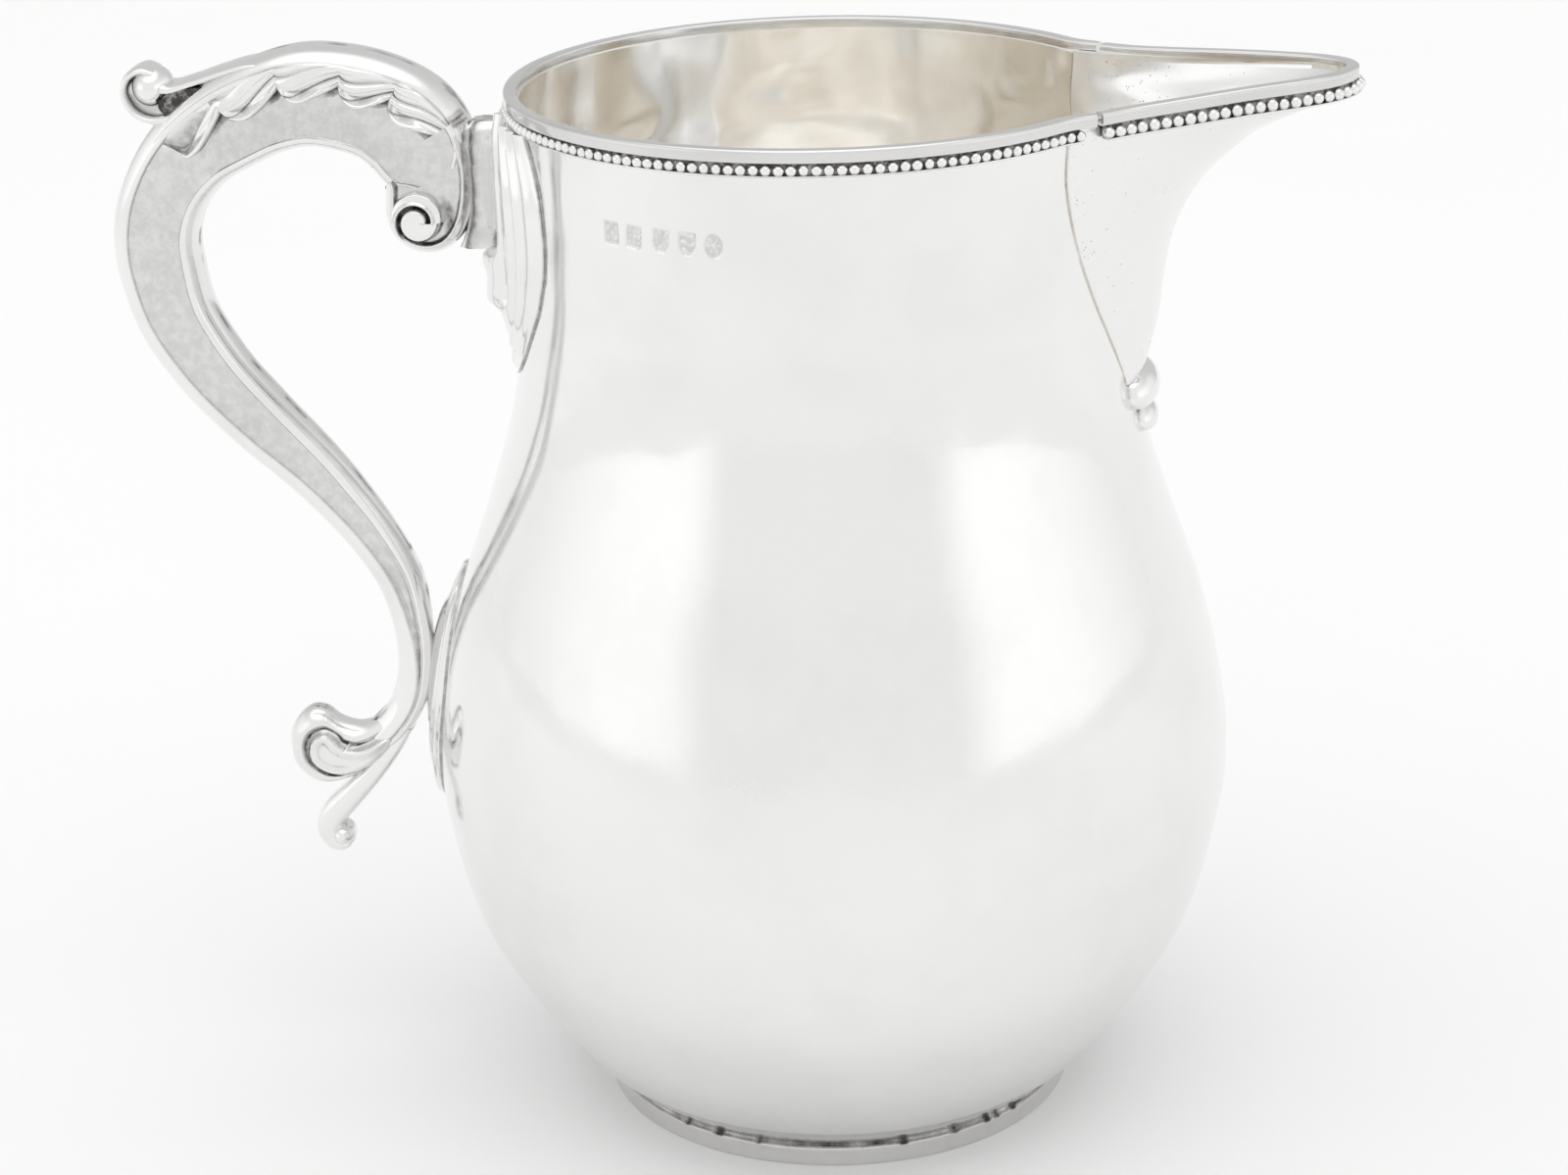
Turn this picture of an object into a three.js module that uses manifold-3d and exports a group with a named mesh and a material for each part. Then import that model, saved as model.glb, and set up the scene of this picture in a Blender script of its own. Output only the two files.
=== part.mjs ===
// Silver water pitcher: a raised pear-shaped body on a plain foot ring, with a beaded rim, an applied
// spout and a hollow scroll handle. Millimetres, +Z up, spout towards +X, handle towards -X.
// Everything is soldered together, so nothing moves. Pieces that touch are SOLDER apart.
import * as THREE from 'three';
import { mergeVertices } from 'three/addons/utils/BufferGeometryUtils.js';
import Module from 'manifold-3d';

const wasm = await Module();
wasm.setup();

// ---- driving dimensions -------------------------------------------------------------------------
const RIM_Z = 193; // top of the round rim above the table
const BELLY_R = 73.6; // widest radius of the body
const WALL = 1.0; // sheet of the body and the spout
const SOLDER = 0.3; // space left between two soldered pieces
const FOOT_H = 3.9; // height of the foot ring
const FOOT_WALL = 1.8; // width of the ring that stands on the table
const RIM_H = 2.2; // height of the rim moulding
const RIM_W = 2.4; // its width
const RIM_BEAD = { pitch: 2.1, r: 0.8 }; // beaded wire under the round rim
const SPOUT_BEAD = { pitch: 2.35, r: 0.95 }; // and the larger one under the spout's rim
const HANDLE_WALL = 0.9; // sheet of the hollow handle
const HANDLE_STOUT = 1.0; // scales the handle's section
const ROUND = 48; // facets round the body

// The curves below are drawn for a rim 193 high and a belly of radius 73.6. Places on them follow the
// two overall sizes; sheet, gaps, beads and handle sections keep their own.
const SX = BELLY_R / 73.6;
const SZ = RIM_Z / 193;
const REACH = { spout: 94.5, handle: 129 }; // how far the spout's tip and the handle stand off the axis

// ---- curves -------------------------------------------------------------------------------------
// A cubic y(x) through every [x, y] pair, flat beyond the ends.
function smooth(pairs) {
  const slope = pairs.map((_, i) => {
    const [xa, ya] = pairs[Math.max(i - 1, 0)];
    const [xb, yb] = pairs[Math.min(i + 1, pairs.length - 1)];
    return (yb - ya) / (xb - xa);
  });
  return (x) => {
    let i = 0;
    while (i < pairs.length - 2 && x > pairs[i + 1][0]) i++;
    const [x0, y0] = pairs[i];
    const [x1, y1] = pairs[i + 1];
    const h = x1 - x0;
    const t = THREE.MathUtils.clamp((x - x0) / h, 0, 1);
    const a = (1 - t) ** 2;
    const b = t ** 2;
    return y0 * (1 + 2 * t) * a + h * slope[i] * t * a + y1 * (3 - 2 * t) * b - h * slope[i + 1] * (1 - t) * b;
  };
}

// Rows of numbers, read at any place between the first row (t = 0) and the last (t = 1).
function table(rows) {
  const columns = rows[0].map((_, k) => smooth(rows.map((row, i) => [i / (rows.length - 1), row[k]])));
  return (t) => columns.map((column) => column(t));
}

const lerp = THREE.MathUtils.lerp;
const deg = THREE.MathUtils.degToRad;
const steps = (n) => Array.from({ length: n }, (_, i) => i / (n - 1));
const polar = (r, angle, z) => new THREE.Vector3(r * Math.cos(angle), r * Math.sin(angle), z);

// ---- solids -------------------------------------------------------------------------------------
// A closed geometry from points and corner indices, turned so that its faces look outwards.
function solid(points, corners) {
  let volume = 0;
  for (let i = 0; i < corners.length; i += 3) {
    const [a, b, c] = [points[corners[i]], points[corners[i + 1]], points[corners[i + 2]]];
    volume += a.dot(b.clone().cross(c));
  }
  if (volume < 0) {
    for (let i = 0; i < corners.length; i += 3) [corners[i], corners[i + 1]] = [corners[i + 1], corners[i]];
  }
  const geometry = new THREE.BufferGeometry();
  geometry.setAttribute('position', new THREE.Float32BufferAttribute(points.flatMap((p) => p.toArray()), 3));
  geometry.setIndex(corners);
  geometry.computeVertexNormals();
  return geometry;
}

// Joins rings of equally many points end to end. A full ring is capped by a fan; a sheet's ring is its
// outer row then its inner row back again, and is capped by a strip between the two rows.
function loft(rings, { isSheet = false } = {}) {
  const n = rings[0].length;
  const points = rings.flat();
  const corners = [];
  for (let i = 0; i + 1 < rings.length; i++) {
    for (let j = 0; j < n; j++) {
      const a = i * n + j;
      const b = i * n + ((j + 1) % n);
      corners.push(a, b, b + n, a, b + n, a + n);
    }
  }
  for (const start of [0, (rings.length - 1) * n]) {
    const face = (a, b, c) => (start ? corners.push(a, b, c) : corners.push(a, c, b));
    if (isSheet) {
      for (let j = 0; j < n / 2 - 1; j++) {
        const [a, b, c, d] = [j, j + 1, n - 2 - j, n - 1 - j].map((k) => start + k);
        face(a, b, c);
        face(a, c, d);
      }
    } else {
      const middle = points.length;
      const ring = points.slice(start, start + n);
      points.push(ring.reduce((sum, p) => sum.add(p), new THREE.Vector3()).divideScalar(n));
      for (let j = 0; j < n; j++) face(middle, start + j, start + ((j + 1) % n));
    }
  }
  return solid(points, corners);
}

// A profile of [r, z] turned round the Z axis: closed on itself, or running from the axis to the axis.
function turned(profile, segments = ROUND) {
  const points = [];
  const rows = profile.map(([r, z]) => {
    const first = points.length;
    if (r < 1e-6) {
      points.push(new THREE.Vector3(0, 0, z));
      return () => first;
    }
    for (let j = 0; j < segments; j++) points.push(polar(r, (2 * Math.PI * j) / segments, z));
    return (j) => first + (j % segments);
  });
  const onAxis = profile[0][0] < 1e-6;
  const corners = [];
  for (let k = 0; k < rows.length - (onAxis ? 1 : 0); k++) {
    const [low, high] = [rows[k], rows[(k + 1) % rows.length]];
    for (let j = 0; j < segments; j++) {
      const [a, b, c, d] = [low(j), low(j + 1), high(j + 1), high(j)];
      if (a !== b) corners.push(a, b, c);
      if (c !== d) corners.push(a, c, d);
    }
  }
  return solid(points, corners);
}

// One solid less another.
function cut(geometry, tool) {
  const [from, by] = [geometry, tool].map((g) => {
    const bare = new THREE.BufferGeometry().setAttribute('position', g.getAttribute('position')).setIndex(g.index);
    const merged = mergeVertices(bare, 1e-4);
    const triVerts = new Uint32Array(merged.index.array);
    return new wasm.Manifold(new wasm.Mesh({ numProp: 3, vertProperties: merged.attributes.position.array, triVerts }));
  });
  const { vertProperties, triVerts } = from.subtract(by).getMesh();
  const result = new THREE.BufferGeometry();
  result.setAttribute('position', new THREE.BufferAttribute(vertProperties, 3));
  result.setIndex(new THREE.BufferAttribute(triVerts, 1));
  result.computeVertexNormals();
  return result;
}

// A section of [outwards, up] points carried along a level path, which is given as points in order.
function moulding(path, section) {
  const rings = path.map((p, i) => {
    const ahead = path[Math.min(i + 1, path.length - 1)];
    const behind = path[Math.max(i - 1, 0)];
    const out = new THREE.Vector3(ahead.y - behind.y, behind.x - ahead.x, 0).normalize();
    return section.map(([o, up]) => p.clone().addScaledVector(out, o).add(new THREE.Vector3(0, 0, up)));
  });
  return loft(rings);
}

// A wire of beads: a small square section that swells at every bead and narrows between beads.
function beadedWire(path, { pitch, r }) {
  const curve = new THREE.CatmullRomCurve3(path);
  const beads = Math.round(curve.getLength() / pitch);
  const rings = Array.from({ length: 2 * beads + 1 }, (_, i) => {
    const t = i / (2 * beads);
    const along = curve.getTangentAt(t);
    const out = new THREE.Vector3(along.y, -along.x, 0).normalize();
    const size = i % 2 ? r : 0.45 * r;
    const at = curve.getPointAt(t);
    return [[1, 0], [0, 1], [-1, 0], [0, -1]].map(([o, up]) =>
      at.clone().addScaledVector(out, o * size).add(new THREE.Vector3(0, 0, up * size)));
  });
  return loft(rings);
}

// ---- body ---------------------------------------------------------------------------------------
const BODY_FLOOR_Z = FOOT_H + SOLDER;
const bodyR = smooth([
  [4.2, 43.4], [6, 45.6], [11.6, 51.3], [23.2, 59.8], [38.6, 68.1], [57.9, 72.8], [67, 73.6], [77.2, 73],
  [96.5, 69], [115.8, 62.35], [135.1, 56.6], [154.4, 53.9], [165, 53.6], [176, 53.8], [190.5, 53.9],
].map(([z, r]) => [lerp(BODY_FLOOR_Z, RIM_Z, (z - 4.2) / 188.8), r * SX]));

const WALL_TOP = RIM_Z - RIM_H - SOLDER;
const levels = [0, 0.01, 0.04, 0.1, 0.18, 0.27, 0.35, 0.43, 0.5, 0.57, 0.64, 0.71, 0.78, 0.86, 0.93, 1]
  .map((f) => lerp(BODY_FLOOR_Z, WALL_TOP, f));
const shellBlank = turned([
  [0, BODY_FLOOR_Z],
  ...levels.map((z) => [bodyR(z), z]),
  ...levels.slice(2).reverse().map((z) => [bodyR(z) - WALL, z]),
  [bodyR(BODY_FLOOR_Z) - WALL, BODY_FLOOR_Z + 1.2 * WALL],
  [0, BODY_FLOOR_Z + 1.2 * WALL],
]);

// ---- spout --------------------------------------------------------------------------------------
// The spout's rim climbs from the round rim to its tip, and the sheet ends under it.
const SPOUT_RISE = 2.2;
const KEEL_TOP = RIM_Z + SPOUT_RISE - RIM_H - SOLDER - 0.4;

// Each station of the spout: where its edge meets the body (height, angle off the spout's plane) and
// where its keel line is (reach, height). Both heights end under the rim.
const SPOUT = [
  [139.5, 10.3, 58.2, 142.6], [143.1, 12.2, 59, 145.6], [149.9, 17.2, 60.3, 151.2], [156.7, 22.3, 60.9, 157.2],
  [166.6, 28.9, 62.8, 166.6], [174.6, 32.5, 67, 174.8], [181, 34.2, 73.4, 181.3], [185, 34.2, 79, 185.2],
  [188, 33.8, 87, 188.6], [190.5, 33.6, 92.7, 192.3],
];
const [SPOUT_FOOT, SPOUT_HEAD] = [SPOUT[0], SPOUT[SPOUT.length - 1]];
const spoutStation = table(SPOUT.map(([z, angle, reach, keel]) => [
  THREE.MathUtils.mapLinear(z, SPOUT_FOOT[0], SPOUT_HEAD[0], SPOUT_FOOT[0] * SZ, WALL_TOP), angle, reach * SX,
  THREE.MathUtils.mapLinear(keel, SPOUT_FOOT[3], SPOUT_HEAD[3], SPOUT_FOOT[3] * SZ, KEEL_TOP),
]));

// A point on the spout's outside: t runs up the spout, s from its far edge (-1) to its near edge (1).
function spoutPoint(t, s) {
  const [z, angle, reach, keel] = spoutStation(t);
  const edge = polar(bodyR(z), deg(angle), z);
  const bow = reach - edge.x;
  const side = Math.sign(s);
  const u = 1 - Math.abs(s);
  const curve = new THREE.CubicBezierCurve3(
    edge,
    new THREE.Vector3(edge.x + lerp(0.45, 0.31, t) * bow, edge.y * lerp(0.75, 0.626, t), lerp(z, keel, 0.3)),
    new THREE.Vector3(reach, edge.y * lerp(0.5, 0.4, t), lerp(z, keel, 0.85)),
    new THREE.Vector3(reach, 0, keel),
  );
  const point = curve.getPoint(u);
  return point.setY(point.y * (side || 1));
}

function spoutShell() {
  const rows = steps(14);
  const across = steps(17).map((f) => 2 * f - 1);
  const d = 1e-3;
  const rings = rows.map((t) => {
    const outer = across.map((s) => spoutPoint(t, s));
    const inner = across.map((s, j) => {
      const clamped = THREE.MathUtils.clamp(t, d, 1 - d);
      const up = spoutPoint(clamped + d, s).sub(spoutPoint(clamped - d, s));
      const sEdge = THREE.MathUtils.clamp(s, -1 + d, 1 - d);
      const over = spoutPoint(t, sEdge + d).sub(spoutPoint(t, sEdge - d));
      const inwards = over.cross(up).normalize();
      if (t === 0) inwards.z = 0;
      return outer[j].clone().addScaledVector(inwards, WALL);
    });
    return [...outer, ...inner.reverse()];
  });
  return loft(rings, { isSheet: true });
}

// The opening in the body wall behind the spout. It is wider than the spout's edge by the sheet, which
// slants more on a wider belly, and a hair of space.
function spoutOpening() {
  const rings = [-0.02, ...steps(14), 1.1].map((f) => {
    const t = THREE.MathUtils.clamp(f, 0, 1);
    const [z, angle] = spoutStation(t);
    const half = deg(angle) + (WALL * SX + SOLDER / 15) / bodyR(z);
    const level = f < 0 ? z - 2 * SOLDER : f > 1 ? RIM_Z + 5 : z;
    const far = 70 * SX;
    return [polar(20, -half, level), polar(far, -half, level), polar(far, half, level), polar(20, half, level)];
  });
  return loft(rings);
}

// ---- rim and beads ------------------------------------------------------------------------------
const RIM_R = 55.7 * SX;
const NOTCH = deg(31.4); // where the round rim meets the spout's rim
const BAND = [[0, -RIM_H], [0, -0.6], [-0.6, 0], [-RIM_W + 0.5, 0], [-RIM_W, -0.5], [-RIM_W, -RIM_H]];

// The round rim's outer edge, which runs out a little just before the notch.
function rimPath(from, offset, z) {
  return steps(61).map((f) => {
    const angle = lerp(from, 2 * Math.PI - from, f);
    const off = Math.min(angle, 2 * Math.PI - angle);
    const flare = 2.6 * THREE.MathUtils.clamp((deg(38.5) - off) / deg(7.5), 0, 1) ** 2;
    return polar(RIM_R + flare + offset, angle, z);
  });
}

// The spout's rim: outer edge, near side, from the notch to the tip, with its climb above the round rim.
const spoutRimHalf = [
  [50.5, 29.3, 0], [56, 25.6, 0.2], [65, 21.2, 0.7], [75, 16.5, 1.3], [85, 11.8, 1.7], [90, 8.6, 1.9], [93.3, 4.6, 2.1],
].map(([x, y, climb]) => new THREE.Vector3(x * SX, y * SX, RIM_Z + climb));
const spoutRim = new THREE.CatmullRomCurve3([
  ...spoutRimHalf.map((p) => new THREE.Vector3(p.x, -p.y, p.z)),
  new THREE.Vector3(REACH.spout * SX, 0, RIM_Z + SPOUT_RISE),
  ...[...spoutRimHalf].reverse(),
]);

const BEAD_TUCK = 0.7; // the bead wire goes round the spout's sheet, and is tucked this far under the rim
function spoutRimPath(count, outwards, up) {
  return steps(count).map((t) => {
    const along = spoutRim.getTangentAt(t);
    const out = new THREE.Vector3(along.y, -along.x, 0).normalize();
    return spoutRim.getPointAt(t).addScaledVector(out, outwards).add(new THREE.Vector3(0, 0, up));
  });
}

// ---- handle -------------------------------------------------------------------------------------
// Down the handle from the volute at the body to the split at its foot: middle of the stem (x, z), its
// width in the handle's plane and its half thickness across it.
const STEM = [
  [-70.2, 179.3, 18.8, 5.8], [-74, 184.8, 20, 6.2], [-80.5, 188.6, 19, 6.6], [-90.3, 190.4, 18.4, 6.8],
  [-98.5, 188.9, 17.8, 6.8], [-106, 185.6, 17.6, 6.7], [-113, 180.9, 16.5, 6.5], [-118.5, 174.1, 15.6, 6.3],
  [-121.3, 166.4, 15.5, 6.1], [-121.3, 158.5, 15.4, 5.9], [-118.8, 148.6, 14.6, 5.7], [-112.6, 138.2, 13.6, 5.4],
  [-104.3, 128.7, 12.6, 5.1], [-95, 119.2, 11, 4.8], [-87, 109.2, 9.6, 4.5], [-81.3, 99.5, 8.6, 4.3],
  [-79, 90, 7.2, 4.1], [-78.9, 81, 6, 4], [-81, 73.2, 6, 4], [-86, 66.8, 8, 4],
];
const drawnStem = table(STEM);
const stem = table(STEM.map(([x, z, width, half]) => [x * SX, z * SZ, width, half]));
const onPlane = (x, z) => new THREE.Vector3(x, 0, z);

// A frame on a line at t: the middle, the directions along it and outward, width and half thickness.
function stemFrame(t, line = stem) {
  const [x, z, width, half] = line(t);
  const [xa, za] = line(Math.max(t - 0.004, 0));
  const [xb, zb] = line(Math.min(t + 0.004, 1));
  const along = onPlane(xb, zb).sub(onPlane(xa, za)).normalize();
  const out = new THREE.Vector3(along.z, 0, -along.x);
  return { at: onPlane(x, z), along, out, width: width * HANDLE_STOUT, half: half * HANDLE_STOUT };
}

// Takes a point drawn beside the stem to where the stem, at t, carries it: it moves, turns and gets
// stouter with the stem.
function besideStem(t) {
  const [drawn, now] = [stemFrame(t, drawnStem), stemFrame(t)];
  return (x, z) => {
    const off = onPlane(x, z).sub(drawn.at);
    return now.at.clone().addScaledVector(now.out, off.dot(drawn.out) * HANDLE_STOUT)
      .addScaledVector(now.along, off.dot(drawn.along) * HANDLE_STOUT);
  };
}
const atHead = besideStem(0); // beside the volute
const atThumb = besideStem(0.33); // beside the leaf's curl
const atFoot = besideStem(1); // beside the split at the foot

const place = ({ at, out }, u, y) => at.clone().addScaledVector(out, u).setY(y);

// Half of the hollow stem: a flanged, slightly dished sheet that meets its twin on the handle's plane.
function stemHalf(side) {
  const rings = steps(32).map((t) => {
    const frame = stemFrame(t);
    const { width: w, half: h } = frame;
    const section = [
      [w / 2, 0], [w / 2 - 0.5, 0.6 * h], [w / 2 - 1.9, h], [w / 2 - 3.1, 0.84 * h], [0.05 * w, 0.76 * h],
      [-w / 2 + 2.1, 0.82 * h], [-w / 2 + 0.6, 0.6 * h], [-w / 2, 0],
    ];
    const inner = [
      [w / 2 - HANDLE_WALL, 0], [w / 2 - 0.5 - HANDLE_WALL, 0.6 * h - 0.4], [w / 2 - 2.2, h - 1.2],
      [w / 2 - 3.1, 0.84 * h - HANDLE_WALL], [0.05 * w, 0.76 * h - HANDLE_WALL],
      [-w / 2 + 2.1, 0.82 * h - HANDLE_WALL], [-w / 2 + 0.6 + HANDLE_WALL, 0.6 * h - 0.6],
      [-w / 2 + HANDLE_WALL, 0],
    ];
    const put = ([u, v]) => place(frame, u, side * (v + SOLDER / 2));
    return [...section.map(put), ...inner.reverse().map(put)];
  });
  return loft(rings, { isSheet: true });
}

// The acanthus leaf on one side of the stem: a relief sheet with a scalloped lower edge.
function leaf(side) {
  const lobes = 5;
  const rings = steps(6 * lobes + 1).map((f) => {
    const frame = stemFrame(lerp(0.045, 0.325, f));
    const { width: w, half: h } = frame;
    const swell = Math.abs(Math.sin(lobes * Math.PI * f)) ** 0.7;
    const depth = lerp(4.2, 6.4, Math.sin(Math.PI * f)) * lerp(0.66, 1, swell);
    const back = 0.84 * h + SOLDER * 1.6;
    const rows = [
      [w / 2 - 3.6, 0.5], [w / 2 - 3.9 - 0.35 * depth, 1.0 + 0.3 * swell], [w / 2 - 3.9 - 0.7 * depth, 1.2 * swell + 0.7],
      [w / 2 - 3.9 - depth, 0.5],
    ];
    const put = ([u, v]) => place(frame, u, side * (back + v + SOLDER / 2));
    return [...rows.map(put), ...[...rows].reverse().map(([u]) => put([u, 0]))];
  });
  return loft(rings, { isSheet: true });
}

// A scroll with rounded sections along its own centre line: [x, z, width, half thickness] rows, carried
// by the stem.
function scroll(carried, rows, count, around = 10) {
  const line = table(rows.map(([x, z, width, half]) => {
    const at = carried(x, z);
    return [at.x, at.z, width, half];
  }));
  const rings = steps(count).map((t) => {
    const frame = stemFrame(t, line);
    return steps(around + 1).slice(0, -1).map((f) => {
      const a = 2 * Math.PI * f;
      return place(frame, (frame.width / 2) * Math.cos(a), frame.half * Math.sin(a));
    });
  });
  return loft(rings);
}

// An outline about a middle on the handle's plane made solid, with its edges drawn in at both ends.
function coin(carried, middle, outline, half, edge = 0.8) {
  const rings = [[-half, 1 - edge / 4], [-half + edge, 1], [half - edge, 1], [half, 1 - edge / 4]].map(([y, size]) =>
    outline.map(([x, z]) => carried(middle[0] + x * size, middle[1] + z * size).setY(y)));
  return loft(rings);
}

const circle = (r, n) => steps(n + 1).slice(0, -1).map((f) => [r * Math.cos(2 * Math.PI * f), r * Math.sin(2 * Math.PI * f)]);

// Outline of the volute about its middle: the stem's end curls under into a round eye.
const VOLUTE = [
  [-62.5, 183.9], [-61.6, 178], [-62, 171.5], [-63.8, 166.2], [-66.6, 163], [-70.3, 161.7], [-74.2, 162.4],
  [-77.3, 164.9], [-78.6, 168.6], [-78.5, 171.6], [-77.6, 173.1],
].map(([x, z]) => [x + 70.4, z - 171.2]);

// A button in the eye of the volute, on one side of it.
const EYE = [-72.3, 168.2];
function volutePearl(side, from) {
  const rings = [[0, 3.4], [0.9, 3.1], [1.7, 2], [2, 0.6]].map(([out, r]) =>
    circle(r, 16).map(([x, z]) => atHead(EYE[0] + x, EYE[1] + z).setY(side * (from + SOLDER + out))));
  return loft(rings);
}

// A plate that hugs the body at an angle round it. Its rows are [z, half angle in degrees, thickness,
// lift], where the lift raises the proud middle of the row above the edge that lies on the body.
function plate(middle, rows, count, flutes = 0) {
  const station = table(rows);
  const rings = steps(count).map((t) => {
    const [zDrawn, half, thick, lift = 0] = station(t);
    const across = steps(11).map((f) => 2 * f - 1);
    const base = bodyR(zDrawn * SZ) + 1.5 * SOLDER;
    const put = (s, share) => {
      const crown = Math.cos((s * Math.PI) / 2) ** 0.8 * (1 - flutes * Math.sin(3 * Math.PI * s) ** 2);
      const proud = 0.4 + (thick - 0.4) * crown;
      return polar(base + share * proud, middle + deg(half) * s, (zDrawn + share * lift * crown) * SZ);
    };
    return [...across.map((s) => put(s, 1)), ...[...across].reverse().map((s) => put(s, 0))];
  });
  return loft(rings, { isSheet: true });
}

const UPPER_MOUNT = [
  [140.6, 8, 0.8], [142.6, 14, 1.7], [146, 19, 2.8], [150.5, 23, 4.6], [153, 25, 7.2], [157, 28, 7.1], [161, 30, 8.2],
  [164, 31.5, 4.6], [170, 32.5, 3.8], [178, 31.5, 3.7], [184, 28, 3.4], [187.6, 24, 2.6],
];
// Where the stem leans on the lower mount, the plate is as thick as the space between stem and body.
function thickToStem(zDrawn) {
  const z = zDrawn * SZ;
  const edges = steps(400).map((f) => stemFrame(lerp(0.7, 1, f))).map((frame) => place(frame, -frame.width / 2, 0));
  const nearest = edges.reduce((best, p) => (Math.abs(p.z - z) < Math.abs(best.z - z) ? p : best));
  return -nearest.x - bodyR(z) - 2.5 * SOLDER;
}
const LOWER_MOUNT = [
  [56.2, 4, 1.6], [60, 8, 2.6], [68, 11, 3.1], [76, 11.5, 2.4], [80, 11, thickToStem(80)], [84, 10, thickToStem(84)],
  [92, 7, 2.4], [97, 4.5, 1.3], [101, 1.5, 0.5],
];
const LARGE_DROP = [
  [134.9, 6, 0.9, 0.2], [136, 9.2, 3.3, 0.8], [137.4, 10.4, 4.3, 1.8], [138.2, 10.4, 4.4, 2.5], [138.7, 9.8, 3.4, 2.9],
];
const SMALL_DROP = [
  [129.9, 2, 0.5, 0], [131, 5.2, 2, 0], [132.4, 6.6, 2.7, 0], [133.6, 6.2, 2.4, 0], [134.3, 5.2, 1, 0],
];

// The short neck from the upper mount to the volute: rows of the height and reach of its end beside the
// volute, how far its other end stands off the body, and its half width. It stays above the rib of the
// upper mount.
const NECK_FOOT = 164.6;
function neck() {
  const rows = [
    [NECK_FOOT, -64, 5.9, 3.6], [166.8, -62.9, 5.28, 4.4], [171.5, -61.5, 4.8, 5], [178, -61.1, 4.7, 5],
    [182, -61.6, 4.68, 4.4], [184, -61.9, 4.66, 3.4],
  ];
  const seats = rows.map(([z, left]) => atHead(left, z));
  const [low, high] = [seats[0].z, seats[seats.length - 1].z];
  const leftAt = smooth(seats.map(({ x, z }) => [z, x]));
  const rings = rows.map(([, , off, half], i) => {
    const z = THREE.MathUtils.mapLinear(seats[i].z, low, high, Math.max(low, NECK_FOOT * SZ), high);
    const [left, right] = [leftAt(z), -bodyR(z) - off];
    const corners = [[right, -0.8], [right, 0.8], [left + 0.8, 1], [left, 0.7], [left, -0.7], [left + 0.8, -1]];
    return corners.map(([x, y]) => new THREE.Vector3(x, y * half * HANDLE_STOUT, z));
  });
  return loft(rings);
}

// ---- assembly -----------------------------------------------------------------------------------
const SILVER = { tone: 0xd9d8d4, metalness: 1 };
function piece(name, geometry, roughness, tone = SILVER.tone) {
  const material = new THREE.MeshStandardMaterial({ color: tone, metalness: SILVER.metalness, roughness });
  const mesh = new THREE.Mesh(geometry, material);
  mesh.name = name;
  return mesh;
}

const vessel = new THREE.Group();
vessel.name = 'vessel';
const ringIn = bodyR(BODY_FLOOR_Z) + 0.7 - FOOT_WALL;
const ringOut = ringIn + FOOT_WALL;
vessel.add(
  piece('body_shell', cut(shellBlank, spoutOpening()), 0.12),
  piece('foot_band', turned([
    [ringIn, 0], [ringOut - 0.3, 0], [ringOut, 0.4], [ringOut, FOOT_H - 0.5], [ringOut - 0.3, FOOT_H], [ringIn, FOOT_H],
  ]), 0.2),
  piece('rim_band', moulding(rimPath(NOTCH, 0, RIM_Z), BAND), 0.16),
  piece('rim_bead_wire', beadedWire(
    rimPath(deg(35), RIM_BEAD.r + SOLDER + bodyR(WALL_TOP) - RIM_R, RIM_Z - RIM_H - SOLDER - RIM_BEAD.r), RIM_BEAD), 0.25),
);

const spout = new THREE.Group();
spout.name = 'spout';
spout.add(
  piece('spout_shell', spoutShell(), 0.18),
  piece('spout_rim_band', moulding(spoutRimPath(41, 0, 0), BAND), 0.16),
  piece('spout_bead_wire', beadedWire(
    spoutRimPath(41, WALL - BEAD_TUCK, -RIM_H - SOLDER - SPOUT_BEAD.r - 0.1), SPOUT_BEAD), 0.25),
  piece('spout_drop_large', plate(0, LARGE_DROP, 8), 0.14),
  piece('spout_drop_small', plate(0, SMALL_DROP, 8), 0.14),
);

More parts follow.
